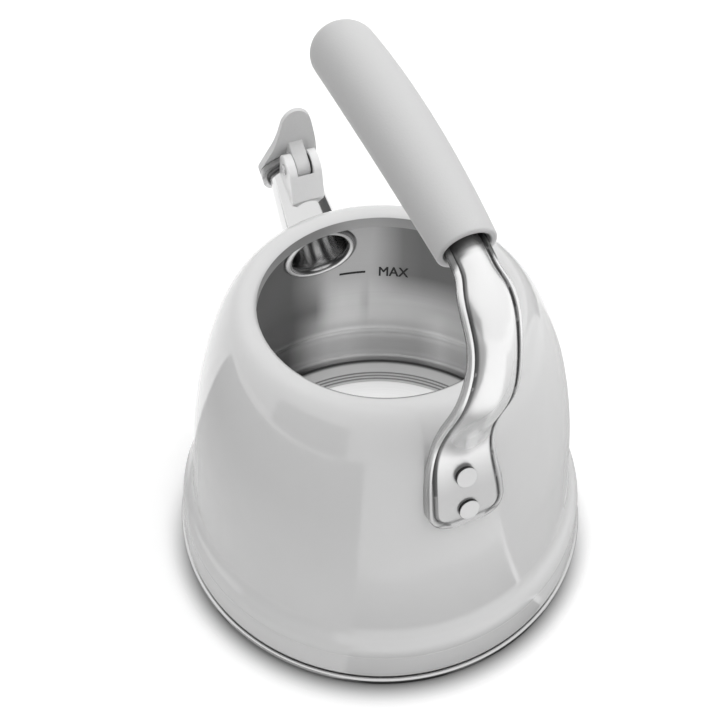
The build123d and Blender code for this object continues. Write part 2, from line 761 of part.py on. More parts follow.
with BuildPart() as handle_strap:
    with BuildSketch(Plane.XZ):
        strap_line = strap_side(strap_t)
        with BuildLine():
            wall_line = [beside_wall(height, -strap_t) for height in pad_heights]
            Polyline(*pad_line, *reversed(wall_line), close=True)
        make_face()
    extrude(amount=pad_w, both=True)
    with BuildSketch(Plane.YZ):
        with BuildLine():
            half_pad, half_top = pad_w / 2, strap_top_w / 2
            wide_z = pad_low_z + pad_corner
            narrow_z = strap_root.Y + strap_top
            over_z = grip_far.Y + grip_far_size[1]
            Line((0, pad_low_z), (half_pad - pad_corner, pad_low_z))
            CenterArc((half_pad - pad_corner, wide_z), pad_corner, -90, 90)
            Spline(
                (half_pad, wide_z),
                *[(width / 2, strap_root.Y + up) for up, width in strap_widths],
                (half_top, narrow_z),
                tangents=[(0, 1), (0, 1)],
            )
            Polyline((half_top, narrow_z), (half_top, over_z), (0, over_z), (0, pad_low_z))
        make_face()
        mirror(about=Plane.YZ)
    extrude(amount=-2 * base_r, both=True, mode=Mode.INTERSECT)
    add(strap_dome(strap_line))
    add(outer_body, mode=Mode.SUBTRACT)
    for plane in rivet_planes:
        with BuildSketch(plane):
            Circle(rivet_r + seat_gap)
        extrude(amount=2 * strap_t, mode=Mode.SUBTRACT)
    for plane in tang_pin_planes:
        with BuildSketch(plane):
            Circle(tang_pin_r + seat_gap)
        extrude(amount=strap_t, both=True, mode=Mode.SUBTRACT)
handle_strap.part.label = "handle_strap"
export_step(handle_strap.part, "parts/handle_strap.step")

# Handle rivets: flat heads on the pad, upset tails inside the body
rivet_seat = strap_t + 4 * seat_gap

with BuildPart() as handle_rivets:
    for plane in rivet_planes:
        with BuildSketch(plane.offset(-rivet_reach)):
            Circle(rivet_r)
        extrude(amount=rivet_reach + rivet_seat)
        with BuildSketch(plane.offset(rivet_seat)):
            Circle(rivet_head_r)
        extrude(amount=rivet_head_h)
        with BuildSketch(plane.offset(-rivet_reach)):
            Circle(rivet_tail_r)
        extrude(amount=-rivet_tail_h)
    for solid in handle_rivets.solids():
        fillet(rims(solid.edges(), rivet_head_r).sort_by(Axis.X)[0], rivet_head_round)
handle_rivets.part.label = "handle_rivets"
export_step(handle_rivets.part, "parts/handle_rivets.step")

# Rivet washers: between each tail and the inside of the wall
with BuildPart() as rivet_washers:
    for plane in rivet_planes:
        with BuildSketch(plane.offset(-rivet_reach)):
            Circle(rivet_washer_r)
            Circle(rivet_r + seat_gap, mode=Mode.SUBTRACT)
        extrude(amount=rivet_reach - sheet)
    add(cavity, mode=Mode.INTERSECT)
rivet_washers.part.label = "rivet_washers"
export_step(rivet_washers.part, "parts/rivet_washers.step")

# Grip core: stiff core moulded around the strap's tang
core_body = grip_body(grip_wall + seat_gap, core_from, core_to, grip_end_round - grip_wall)
tang_pin_half = grip_near_size[1] / 2 - grip_wall - 2 * seat_gap

with BuildPart() as grip_core:
    add(core_body)
    with BuildSketch(Plane.XZ):
        strap_side(strap_t + 2 * seat_gap)
    extrude(amount=strap_top_w / 2 + seat_gap, both=True, mode=Mode.SUBTRACT)
    for plane in tang_pin_planes:
        with BuildSketch(plane):
            Circle(tang_pin_r + seat_gap)
        extrude(amount=2 * tang_pin_half, both=True, mode=Mode.SUBTRACT)
grip_core.part.label = "grip_core"
export_step(grip_core.part, "parts/grip_core.step")

# Grip sleeve: soft-touch sleeve over the core, open where the strap comes in
with BuildPart() as grip_sleeve:
    add(grip_body(0, 0, 1, grip_end_round))
    add(grip_body(grip_wall, 0, core_to, grip_end_round - grip_wall), mode=Mode.SUBTRACT)
grip_sleeve.part.label = "grip_sleeve"
export_step(grip_sleeve.part, "parts/grip_sleeve.step")

# Tang pins: lock the strap's tang in the core
with BuildPart() as tang_pins:
    for plane in tang_pin_planes:
        with BuildSketch(plane):
            Circle(tang_pin_r)
        extrude(amount=tang_pin_half, both=True)
tang_pins.part.label = "tang_pins"
export_step(tang_pins.part, "parts/tang_pins.step")
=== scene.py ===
"""Finished look of a stovetop kettle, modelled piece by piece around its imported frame.

The frame has its origin at the centre of the base, +Z up and +X towards the spout.
Profiles below are in millimetres, as in the part's source, and are turned into metres when drawn.
"""

from math import acos, asin, atan2, cos, degrees, hypot, pi, radians, sin, sqrt

import bmesh
import bpy
from bpy.props import FloatProperty, FloatVectorProperty, IntProperty, PointerProperty
from mathutils import Matrix, Vector


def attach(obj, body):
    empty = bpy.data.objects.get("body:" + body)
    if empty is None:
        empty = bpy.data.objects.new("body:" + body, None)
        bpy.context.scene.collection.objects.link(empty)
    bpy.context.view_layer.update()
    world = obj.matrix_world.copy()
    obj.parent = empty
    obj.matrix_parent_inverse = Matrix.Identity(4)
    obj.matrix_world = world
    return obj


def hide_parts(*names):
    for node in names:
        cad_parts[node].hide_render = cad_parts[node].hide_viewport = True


bl_info = {
    "name": "Stovetop Kettle",
    "version": (1, 0, 0),
    "blender": (4, 5, 0),
    "location": "View3D > Sidebar > Kettle",
    "description": "Models the enamel, steel and soft pieces of a stovetop kettle around its packed frame",
    "category": "Object",
}

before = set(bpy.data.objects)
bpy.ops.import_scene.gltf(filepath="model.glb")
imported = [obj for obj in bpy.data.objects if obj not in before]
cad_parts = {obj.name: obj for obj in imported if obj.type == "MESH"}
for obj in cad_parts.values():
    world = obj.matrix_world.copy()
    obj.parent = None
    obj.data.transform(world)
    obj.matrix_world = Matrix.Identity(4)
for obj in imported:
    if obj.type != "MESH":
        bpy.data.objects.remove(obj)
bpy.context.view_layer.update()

MM = 0.001
MERGE = 0.000001

# Body profile
SHEET = 1.2
ENAMEL_DEPTH = 0.5
LINER_DEPTH = 0.56
SEAM = (92.6, 18.7)
SEAM_GROOVE = 0.16
SKIRT_STEP = 0.02
CREASE = (86.8, 29.0)
CREASE_TURN = 20.0
CREASE_SOFT = 0.12
KNEE = (81.9, 66.1)
CREST = (54.3, 136.1)
DOME_RISE = 30.0
DOME_CROWN = 11.3
MOUTH_R = 49.5
LIP_DROP = 1.4
NECK_LOW = 129.2
LIP_EDGE = 1.2
LIP_SHADE = 0.45
WALL_LEAN = atan2(CREASE[0] - KNEE[0], KNEE[1] - CREASE[1])
WALL_OUT = (cos(WALL_LEAN), sin(WALL_LEAN))
WALL_UP = (-sin(WALL_LEAN), cos(WALL_LEAN))
LIP_RUN = CREST[0] - MOUTH_R
LIP_R = (LIP_RUN**2 + LIP_DROP**2) / (2 * LIP_DROP)
SHOULDER_RUN = SEAM[0] - CREASE[0]
SHOULDER_R = (SHOULDER_RUN**2 + (CREASE[1] - SEAM[1]) ** 2) / (2 * SHOULDER_RUN)

# Painted reflections on the brushed lining, in bands at its foot, low and high on the wall, as (degrees from
# the spout, grey)
FOOT_REFLECTION_BANDS = (
    (-180.0, 0.7), (-110.0, 0.2), (-48.0, 0.85), (-44.0, 1.0), (-36.0, 0.74), (-20.0, 0.84), (-12.0, 1.0),
    (-5.0, 0.95), (0.0, 0.7), (4.0, 0.42), (9.0, 0.16), (90.0, 0.2), (180.0, 0.7),
)
LOW_REFLECTION_BANDS = (
    (-180.0, 0.7), (-110.0, 0.2), (-45.0, 0.66), (-19.2, 0.84), (-18.4, 0.62), (-17.6, 0.98), (-16.4, 0.6),
    (-15.0, 1.0), (-14.2, 0.9), (-9.0, 0.95), (-5.0, 0.82), (0.0, 0.25), (8.0, 0.11), (90.0, 0.2),
    (180.0, 0.7),
)
HIGH_REFLECTION_BANDS = (
    (-180.0, 0.6), (-110.0, 0.2), (-38.0, 0.2), (-31.0, 0.26), (-20.0, 0.72), (-5.0, 0.76), (2.0, 0.4),
    (10.0, 0.15), (90.0, 0.2), (180.0, 0.6),
)
# Changes from one row to the next and to the neck's painted light, as (height, share), and the wall's
# painted shade, deeper above the shoulder and in the trough at its foot, as (height, grey)
FOOT_CHANGE = ((29.0, 0.0), (52.0, 1.0))
BAND_CHANGE = ((54.0, 0.0), (75.0, 1.0))
NECK_CHANGE = ((122.0, 0.0), (129.0, 0.7))
WALL_SHADE_TONES = (
    (2.2, 0.3), (5.0, 1.0), (30.0, 1.0), (34.0, 0.6), (50.0, 0.47), (75.0, 0.36), (105.0, 0.35),
    (118.0, 0.35),
)
NECK_LIGHT_TONE = 1.0

# Base, skirt and floor profiles, and the painted shade on the points of base and floor: on the base
# ring's lower edge, in the gap at the floor's edge, on its border and in its rings
BASE_R = 95.5
BASE_SHEET = 0.8
BASE_RING_H = 3.6
BASE_FLAT_R = 60.0
BASE_EDGE = 1.2
BASE_ROLL = 1.0
BASE_TURN_IN = [(94.1, BASE_RING_H), (92.8, 2.2), (90.9, 1.2), (88.4, BASE_SHEET)]
BASE_SHADES = [0.0] * 2 + [0.95] * 9 + [0.6, 0.4, 0.2, 0.1] + [0.0] * 10
SKIRT_R = 95.2
SKIRT_CORNER = 6.0
FLANGE_R = 83.0
FLANGE_TOP = 2.0
FLOOR_FOOT_R = 86.9
FLOOR_HEAD_R = FLOOR_FOOT_R - 1.0
FLOOR_LOW = 6.0
FLOOR_TOP = 7.0
FLOOR_CORNER = 4.0
FLOOR_RIM = 4.7
FLOOR_RAISED_R = 69.0
FLOOR_RAISED_H = 0.6
FLOOR_RINGS = (71.0, 73.0, 75.0)
FLOOR_RING_R = 0.5
FLOOR_RING_EDGE = 0.15
FLOOR_STEP = ((0.35, 0.0), (0.0, 0.1), (-0.6, FLOOR_RAISED_H - 0.1), (-1.0, FLOOR_RAISED_H))
FLOOR_UNDER = [(FLOOR_HEAD_R - 5.0, FLOOR_LOW), (FLOOR_HEAD_R - 1.6, 4.6), (FLOOR_HEAD_R, FLANGE_TOP)]
FLOOR_RIM_SHADES = [1.0] * 9 + [0.9, 0.45]
FLOOR_RING_SHADES = [0.45, 0.6] + [0.82] * 5 + [0.6]
FLOOR_STEP_SHADES = [0.35, 0.5, 0.15]

# Spout, in its own frame: s runs out from the lip along the axis, n up from the axis
SPOUT_TIP = Vector((107.631, 0.0, 120.077))
SPOUT_DIR = Vector((cos(radians(31.0)), 0.0, sin(radians(31.0))))
SPOUT_UP = Vector((-SPOUT_DIR.z, 0.0, SPOUT_DIR.x))
SPOUT_TIP_R = 10.6
SPOUT_SLOPE = 3.8 / 38.4
SPOUT_SHEET = 1.0
SPOUT_FROM = -33.0
ROOT_R = 14.45
ROOT_INSET = 0.4
ROOT_GUESS = -38.0
ROOT_CUT = 56.0
ROOT_ROOM = 0.1
COLLAR_R = 18.0
# The root ring rolls from the bore over its crown down to the wall: (radius, height off the wall)
COLLAR_SECTION = (
    (13.45, -0.7), (13.5, 0.2), (13.75, 0.95), (14.25, 1.5), (15.0, 1.78), (15.8, 1.72), (16.6, 1.4),
    (17.3, 0.85), (17.8, 0.35), (COLLAR_R, 0.06), (16.6, 0.02), (14.6, -0.1),
)
COLLAR_CROWN_R = 15.7
CROWN_SHADE = 0.65
CROWN_SHADE_FALL = 0.55
COLLAR_EDGE = 1.7
HINGE = (-4.9, 19.2)

# Cap
CAP_R = 13.8
CAP_T = 3.0
CAP_FRONT = 7.2
CAP_BACK_EDGE = 2.0
NEARLY = 0.01
PADDLE_TOP = 40.8
PADDLE_TOP_R = 7.0
PADDLE_FROM = 10.0
PADDLE_TO = 13.5
PADDLE_PULL = 11.0
PADDLE_BEND_FROM = 20.0
PADDLE_FORWARD = 5.4
PADDLE_TAPER = 0.5
RIM_LINE = 1.8
RIM_SHADE = 0.3
RIM_SHADE_FALL = 0.25
HOLDER_SHADE_FROM = -3.0
HOLDER_SHADE_RISE = 0.12
WHISTLE_R = 9.7
WINDOW_R = 7.5
WINDOW_RIM = 0.8
WINDOW_REACH = 4.0
KNUCKLE_R = 4.6
EAR_TRIM = 0.2
EAR_SLIM = 0.28
EAR_FOOT = 1.9
ARM_W = 6.6
ARM_END = 5.6
ARM_TOP = 24.6
ARM_EDGE = 0.5
PIN_BORE_R = 1.56

# Strap, as (x, z) points in the plane of symmetry and (height, width) pairs
STRAP_T = 3.0
STRAP_GAP = 0.1
STRAP_LENGTH = 180.0
STOP_GAP = 0.02
PAD_HEIGHTS = (91.5, 104.75, 118.0)
PAD_WIDTH = 31.0
PAD_CORNER = 8.5
PAD_RIM = 1.5
PAD_GROOVE = 2.0
PAD_RISE = 0.7
PAD_BACK_R = 73.0
PAD_SHADE = 0.42
PAD_SHADE_FROM = 0.6
PAD_GROOVE_SHADE = 0.3
RIDGE_NARROW = 2.4
RIDGE_WIDEN = 1.6
FRONT_SHADE = 0.88
FRONT_SHADE_FROM = 68.0
FRONT_SHADE_OVER = 24.0
MOUTH_SHADE = 0.8
MOUTH_CURVE = 0.07
STRAP_RIM = 1.2
STRAP_GROOVE = 1.3
STRAP_BACK_EDGE = 0.3
GROOVE_DEPTH = 0.6
STRAP_PATH = ((-74.2, 146.2), (-80.5, 163.6), (-82.4, 179.5), (-79.4, 193.9), (-71.8, 203.2))
STRAP_WIDTHS = ((120.0, 26.4), (146.2, 22.3), (170.0, 20.3), (193.9, 18.3), (204.6, 16.8), (207.6, 14.4))
STRAP_FRONT_STEPS = 33
STRAP_BACK_STEPS = 25
STRAP_SIDE_SHADES = [0.95, 0.88, 0.5, 0.0, 0.0, 0.1, 0.3, 0.5, 0.8, 0.8]
# Heights above the pad's foot over which the strap changes, and distances from the grip's mouth
SLIM_OVER = (14.0, 34.0)
DOMED_OVER = (22.0, 60.0)
GROOVE_OVER = (0.5, 7.0)
RISE_OVER = (PAD_RIM, PAD_RIM + 4.0)
NARROW_OVER = (22.0, 56.0)
HUG_OVER = (24.0, 33.0)
BELLY_OVER = (34.0, 56.0)
PAD_SHADE_OVER = (14.0, 36.0)
MOUTH_SHADE_OVER = (-3.4, -1.4)

# Rivets: where they go through the pad, then radii and heights off the wall
RIVET_HEIGHTS = (98.8, 112.6)
RIVET_R = 2.2
RIVET_HEAD_R = 4.1
RIVET_SEAT = 3.0
RIVET_TOP = 5.2
RIVET_EDGE = 0.3
RIVET_REACH = 2.6
RIVET_TAIL = ((3.4, -RIVET_REACH), (3.4, -3.2), (3.0, -3.6), (0.0, -3.6))

# Grip
GRIP_NEAR = Vector((-59.5, 209.4))
GRIP_FAR = Vector((48.5, 220.7))
GRIP_ARCH = 3.5
GRIP_SIZES = ((19.8, 17.8), (24.4, 21.6), (24.2, 22.0))
GRIP_WALL = 2.2
GRIP_RIM = 0.7
GRIP_SHADE = 0.3
GRIP_SHADE_RISE = 0.026
GRIP_MOUTH = 7.0
GRIP_END = 10.6
GRIP_BLUNT = 0.6
GRIP_STEP = 0.4
GRIP_SKIN_FROM = 3.0
TANG_TO = 41.0

# Fill mark
CAPITAL_SHARE = 0.7
WORD_SQUEEZE = 0.66
STROKE_SHIFTS = ((0.28, 0.0, 0.01), (0.0, 0.16, 0.01), (-0.28, 0.0, 0.01))
MARK_LIFT = 0.05

# Photograph's camera, the painted contact shadow on the floor by the base and the light of floor and surround
CAMERA_AT = Vector((-252.85, 114.73, 407.4))
CAMERA_RIGHT = Vector((-0.38371, -0.92345, -0.0014))
CAMERA_UP = Vector((0.68512, -0.28569, 0.67007))
CONTACT = ((BASE_R + 13.0) * MM, (BASE_R - 6.0) * MM)
CONTACT_FRONT = (-0.3 * BASE_R * MM, 0.8 * BASE_R * MM)
CONTACT_SHADOW_TONE = 0.12
FLOOR_GLOW = 0.22
WORLD_LIGHT = 0.1
STAGE_SIZE = 6.0
STAGE_DROP = 0.2
INSIDE_LAMP_AT = (0.0, 0.0, 0.075)

# Finishes: a grey, a colour or the name of one in the panel, then roughness and how far it varies,
# metal, coat, grain, depth of relief, change of tone and the grey of painted shade where a piece's shade
# attribute is 1
LOOKS = {
    "enamel_gloss": ("enamel", 0.14, 0.05, 0.0, 0.8, 60.0, 0.006, 0.01, 0.08),
    "bracket_paint": ("bracket", 0.30, 0.05, 0.0, 0.5, 700.0, 0.03, 0.02, None),
    "holder_paint": ("bracket", 0.36, 0.05, 0.0, 0.2, 700.0, 0.03, 0.02, 0.3),
    "cap_paint": ("cap", 0.48, 0.05, 0.0, 0.0, 900.0, 0.05, 0.03, 0.1),
    "soft_touch": ("grip", 0.55, 0.05, 0.0, 0.0, 1400.0, 0.08, 0.02, 0.4),
    "fill_print": ("mark", 0.5, 0.05, 0.0, 0.0, 500.0, 0.01, 0.06, None),
    "brushed_inside": (0.98, 0.30, 0.05, 0.65, 0.0, (5.0, 5.0, 2600.0), 0.02, 0.08, None),
    "turned_floor": (0.82, 0.42, 0.05, 0.3, 0.0, 90.0, 0.04, 0.08, 0.02),
    "base_steel": (0.66, 0.22, 0.05, 1.0, 0.0, (8.0, 8.0, 1200.0), 0.03, 0.08, 0.05),
    "strap_steel": (0.90, 0.24, 0.02, 0.7, 0.0, 40.0, 0.004, 0.03, 0.03),
    "spout_steel": (0.74, 0.13, 0.03, 1.0, 0.0, 50.0, 0.006, 0.04, None),
    "ring_steel": (0.70, 0.16, 0.03, 1.0, 0.0, 80.0, 0.006, 0.04, 0.05),
    "fastener_steel": (0.60, 0.25, 0.05, 1.0, 0.0, 300.0, 0.02, 0.06, None),
    "cast_aluminium": ((0.66, 0.66, 0.67), 0.45, 0.05, 1.0, 0.0, 400.0, 0.05, 0.06, None),
    "dark_plastic": (0.05, 0.5, 0.05, 0.0, 0.0, 700.0, 0.05, 0.06, None),
    "seal_rubber": (0.16, 0.6, 0.05, 0.0, 0.0, 900.0, 0.06, 0.06, None),
    "studio_floor": (0.93, 0.7, 0.05, 0.0, 0.0, 90.0, 0.0, 0.0, None),
}
CARD_LOOK = (0.5, 0.9, 0.05, 0.0, 0.0, 90.0, 0.0, 0.0, None)
COAT_ROUGHNESS = 0.03
BRUSHED = 0.75
RING_GRAIN = (2200.0, 2200.0, 0.0)
PRINT_SHINE = 0.1
# Frame nodes that keep their own mesh, by finish
FITTINGS = {
    "cast_aluminium": ("heat_spreader",),
    "fastener_steel": (
        "bracket_screw", "hinge_pin", "whistle_cup", "whistle_rear_disc", "whistle_front_disc",
        "rivet_washers", "tang_pins",
    ),
    "dark_plastic": ("hinge_washers", "grip_core"),
    "seal_rubber": ("cap_seal",),
}


# Settings shown in the panel


def length(name, about, metres):
    return FloatProperty(name=name, description=about, default=metres, unit="LENGTH")


def bearing(name, about, turn):
    return FloatProperty(name=name, description=about, default=radians(turn), subtype="ANGLE")


def colour(name, about, grey):
    return FloatVectorProperty(
        name=name, description=about, default=(grey,) * 3, subtype="COLOR", min=0, max=1
    )


class KettleSizes(bpy.types.PropertyGroup):
    round_steps: IntProperty(
        name="Round steps",
        description="Segments around the body and the other large round pieces",
        default=192,
        min=48,
        max=256,
    )
    strap_crown: length("Strap crown", "How far the strap's raised middle stands above its rims", 0.0034)
    strap_edge: length("Strap edge", "Rounding of the strap's front edges", 0.0013)
    cap_edge: length("Cap edge", "Rounding of the cap plate's front edge", 0.0006)
    bracket_edge: length("Bracket edge", "Rounding of the hinge bracket's edges", 0.0004)
    mark_height: length("Mark height", "Height of the fill mark's letters", 0.0072)
    mark_line: length("Mark line", "Thickness of the fill mark's line", 0.0016)


class KettleColours(bpy.types.PropertyGroup):
    enamel: colour("Enamel", "Enamel outside", 0.735)
    grip: colour("Grip", "Soft sleeve of the grip", 0.76)
    cap: colour("Cap", "Cap plate with its paddle", 0.77)
    bracket: colour("Bracket", "Hinge bracket and cap holder", 0.97)
    mark: colour("Fill mark", "Print inside the wall", 0.008)


def sizes():
    return bpy.context.scene.kettle_sizes


# Profiles


def spread(low, high, count):
    return [low + (high - low) * i / (count - 1) for i in range(count)]


def mix(a, b, t):
    return tuple(p + (q - p) * t for p, q in zip(a, b))


def eased(value, start, end):
    """0 at the start, 1 at the end, with no corner at either."""
    t = max(0.0, min(1.0, (value - start) / (end - start)))
    return t * t * (3.0 - 2.0 * t)


def looked_up(table, at, beyond=None):
    """Value at a place in a table of (place, value) rows, or what stands beyond them."""
    for (x0, y0), (x1, y1) in zip(table, table[1:]):
        if x0 <= at <= x1:
            return y0 + (y1 - y0) * (at - x0) / (x1 - x0)
    return beyond


def curve_point(poles, t):
    while len(poles) > 1:
        poles = [mix(a, b, t) for a, b in zip(poles, poles[1:])]
    return poles[0]


def arc(centre, radius, start, end, count):
    """Points of an arc, with its angles in degrees."""
    return [
        (centre[0] + radius * cos(radians(a)), centre[1] + radius * sin(radians(a)))
        for a in spread(start, end, count)
    ]


def corner(before, at, after, radius, count=9):
    """Points of the arc that rounds one corner of a profile."""
    p = Vector(at)
    a, b = (Vector(before) - p).normalized(), (Vector(after) - p).normalized()
    half = a.angle(b) / 2
    centre = p + (a + b).normalized() * (radius / sin(half))
    reach = radius * cos(half) / sin(half)
    start, end = p + a * reach - centre, p + b * reach - centre
    turn = start.angle_signed(end)
    return [tuple(centre + Matrix.Rotation(-turn * t, 2) @ start) for t in spread(0.0, 1.0, count)]


def dome_poles(inset):
    knee = (KNEE[0] - WALL_OUT[0] * inset, KNEE[1] - WALL_OUT[1] * inset)
    crest = (CREST[0], CREST[1] - inset)
    rise = (knee[0] + WALL_UP[0] * DOME_RISE, knee[1] + WALL_UP[1] * DOME_RISE)
    return [knee, rise, (crest[0] + DOME_CROWN - inset, crest[1]), crest]


def crease_point(inset):
    """Where the shoulder's arc meets the straight wall."""
    x = CREASE[0] - WALL_OUT[0] * inset - (SEAM[0] - SHOULDER_R)
    z = CREASE[1] - WALL_OUT[1] * inset - SEAM[1]
    along = x * WALL_UP[0] + z * WALL_UP[1]
    root = sqrt(along**2 - x * x - z * z + (SHOULDER_R - inset) ** 2)
    step = min(-along + root, -along - root, key=abs)
    return x + WALL_UP[0] * step + SEAM[0] - SHOULDER_R, z + WALL_UP[1] * step + SEAM[1]


def wall_profile(inset):
    """Wall from the seam over the dome to the mouth's edge, moved in by inset."""
    centre, bend = (SEAM[0] - SHOULDER_R, SEAM[1]), crease_point(inset)
    turn = degrees(atan2(bend[1] - centre[1], bend[0] - centre[0]))
    points = arc(centre, SHOULDER_R - inset, 0, turn - CREASE_TURN, 10)
    poles = dome_poles(inset)
    soft = [points.pop(), bend, mix(bend, poles[0], CREASE_SOFT)]
    points += [curve_point(soft, t) for t in spread(0.0, 1.0, 9)]
    points += [mix(bend, poles[0], t) for t in (0.3, 0.5, 0.75)]
    points += [curve_point(poles, t) for t in spread(0.0, 1.0, 56)]
    roll = degrees(asin((LIP_RUN - inset) / (LIP_R - inset)))
    points += arc((CREST[0], CREST[1] - LIP_R), LIP_R - inset, 90, 90 + roll, 14)[1:]
    return points


WALL_TABLE = [(z, r) for r, z in wall_profile(0.0) if r >= CREST[0]]


def lip_shade(place):
    """Dark line along the mouth's trimmed edge, with painted shade that makes it deepest towards the handle.
    """
    edge = max(0.0, 1.0 - (hypot(place.x, place.y) - MOUTH_R) / LIP_EDGE)
    return edge * LIP_SHADE * (1.0 - place.x / MOUTH_R)


def wall_radius(z):
    """Outer radius of the wall between seam and crest."""
    return looked_up(WALL_TABLE, z)


def wall_out(z):
    """Outward direction of the wall at a height, as (radius, z)."""
    fall = (wall_radius(z - 1.0) - wall_radius(z + 1.0)) / 2.0
    return 1.0 / hypot(1.0, fall), fall / hypot(1.0, fall)


def skirt_profile(inset):
    """Skirt from the seam down and in along its flange, moved in by inset."""
    lean = atan2(SKIRT_R - SEAM[0], SEAM[1] - BASE_SHEET)
    top = (SEAM[0] - inset, SEAM[1])
    foot = (SKIRT_R - inset / cos(lean), BASE_SHEET + inset)
    flange = (FLANGE_R, BASE_SHEET + inset)
    return [top, mix(top, foot, 0.25)] + corner(top, foot, flange, SKIRT_CORNER - inset) + [flange]


def spout_place(s, n, y=0.0):
    """A place given in the spout's own frame."""
    return SPOUT_TIP + SPOUT_DIR * s + SPOUT_UP * n + Vector((0.0, y, 0.0))


def along_spout(place):
    return (place - SPOUT_TIP).dot(SPOUT_DIR)


def above_spout(place):
    return (place - SPOUT_TIP).dot(SPOUT_UP)


def spout_point(radius, turn, s):
    """Point at a radius and angle around the spout's axis, s out from its lip."""
    return spout_place(s, radius * cos(turn), radius * sin(turn))


def root_ring_shade(place):
    """Painted shade on the crown and at both edges of the ring, leaving a painted highlight line between."""
    side = abs((place - SPOUT_TIP).cross(SPOUT_DIR).length - COLLAR_CROWN_R)
    return max(CROWN_SHADE - CROWN_SHADE_FALL * side, side - COLLAR_EDGE)


def spout_wall_s(radius, turn, inset):
    """How far along the spout's axis it meets the wall moved in by inset."""
    s = ROOT_GUESS
    for _ in range(24):
        p = spout_point(radius, turn, s)
        s -= hypot(p.x, p.y) - (wall_radius(p.z) - inset / wall_out(p.z)[0])
    return s


def smooth_path(points, start, end, stops):
    """Smooth curve through points, with its first and last directions given, at stops along it."""
    knots = [0.0]
    for a, b in zip(points, points[1:]):
        knots.append(knots[-1] + (b - a).length)
    n = len(points)
    slopes = [start.normalized()] + [None] * (n - 2) + [end.normalized()]
    # slopes of a curve whose bending has no jumps, found by sweeping forwards and back
    factor, value = [0.0] * n, [slopes[0]] + [None] * (n - 1)
    for i in range(1, n - 1):
        h0, h1 = knots[i] - knots[i - 1], knots[i + 1] - knots[i]
        right = ((points[i] - points[i - 1]) * (h1 / h0) + (points[i + 1] - points[i]) * (h0 / h1)) * 3.0
        pivot = 2.0 * (h0 + h1) - h1 * factor[i - 1]
        factor[i] = h0 / pivot
        value[i] = (right - value[i - 1] * h1) / pivot
    for i in range(n - 2, 0, -1):
        slopes[i] = value[i] - slopes[i + 1] * factor[i]
    path = []
    for u in [stop for stop in stops if stop <= knots[-1]]:
        i = max(k for k in range(n - 1) if knots[k] <= u)
        h = knots[i + 1] - knots[i]
        t = (u - knots[i]) / h
        path.append(
            points[i] * (2 * t**3 - 3 * t**2 + 1)
            + slopes[i] * ((t**3 - 2 * t**2 + t) * h)
            + points[i + 1] * (3 * t**2 - 2 * t**3)
            + slopes[i + 1] * ((t**3 - t**2) * h)
        )
    return path


def grip_station(share):
    """Point and direction of the grip's axis, and its half width and half height there."""
    chord = GRIP_FAR - GRIP_NEAR
    ahead = chord.normalized()
    over = Vector((-ahead.y, ahead.x))
    point = GRIP_NEAR + chord * share + over * (4 * GRIP_ARCH * share * (1 - share))
    heading = (ahead + over * (4 * GRIP_ARCH * (1 - 2 * share) / chord.length)).normalized()
    weights = ((1 - share) * (1 - 2 * share), 4 * share * (1 - share), share * (2 * share - 1))
    half = [sum(w * size[i] for w, size in zip(weights, GRIP_SIZES)) / 2 for i in (0, 1)]
    return point, heading, half


# Modelling steps shared by the operators


def begin(primitive, **settings):
    """Starts a piece from a primitive that is alone in the selection, and opens it for editing."""
    if bpy.context.object and bpy.context.object.mode == "EDIT":
        bpy.ops.object.mode_set(mode="OBJECT")
    bpy.ops.object.select_all(action="DESELECT")
    primitive(**settings)
    bpy.ops.object.mode_set(mode="EDIT")
    bpy.ops.mesh.select_all(action="SELECT")
    return bpy.context.object


def begin_ring(points, shades=None):
    """Starts a piece from a circle and draws it out to a ring of points, with shades kept in an attribute."""
    piece = begin(bpy.ops.mesh.primitive_circle_add, vertices=len(points), radius=0.01, fill_type="NOTHING")
    mesh = bmesh.from_edit_mesh(piece.data)
    for vertex, point in zip(mesh.verts, points):
        vertex.co = Vector(point) * MM
    if shades:
        layer = mesh.verts.layers.float.new("shade")
        for vertex, shade in zip(mesh.verts, shades):
            vertex[layer] = shade
    bmesh.update_edit_mesh(piece.data)
    return piece


def turned(profile, steps, origin=Vector(), axis=Vector((0, 0, 1)), side=Vector((1, 0, 0)), shades=None):
    """Spins a closed profile of (radius, height) points around an axis."""
    piece = begin_ring([origin + side * r + axis * h for r, h in profile], shades)
    bpy.ops.mesh.spin(steps=steps, angle=2 * pi, center=origin * MM, axis=axis)
    bpy.ops.mesh.select_all(action="SELECT")
    bpy.ops.mesh.remove_doubles(threshold=MERGE)
    return piece


def lofted(rings, closed=False, shades=None):
    """Extrudes a ring through a row of rings, and caps both ends unless the row closes on itself."""
    piece = begin_ring(rings[0], shades)
    if closed:
        rings = rings + rings[:1]
    for last, ring in zip(rings, rings[1:]):
        bpy.ops.mesh.extrude_region_move()
        mesh = bmesh.from_edit_mesh(piece.data)
        fresh = [v for v in mesh.verts if v.select]
        place = {tuple((Vector(p) * MM).to_tuple(8)): q for p, q in zip(last, ring)}
        for vertex in fresh:
            vertex.co = Vector(place[vertex.co.to_tuple(8)]) * MM
        bmesh.update_edit_mesh(piece.data)
    bpy.ops.mesh.select_all(action="SELECT")
    if closed:
        bpy.ops.mesh.remove_doubles(threshold=MERGE)
    else:
        bpy.ops.mesh.fill_holes(sides=0)
    return piece


def extruded(points, way):
    """Fills a ring of points and draws it out to a slab."""
    piece = begin_ring(points)
    bpy.ops.mesh.edge_face_add()
    bpy.ops.mesh.extrude_region_move(TRANSFORM_OT_translate={"value": way * MM})
    return piece


def select_edges(piece, test):
    """Selects the edges with both ends at places that pass a test."""
    mesh = bmesh.from_edit_mesh(piece.data)
    for edge in mesh.edges:
        edge.select_set(False)
    for edge in mesh.edges:
        edge.select_set(all(test(vertex.co / MM) for vertex in edge.verts))
    bmesh.update_edit_mesh(piece.data)


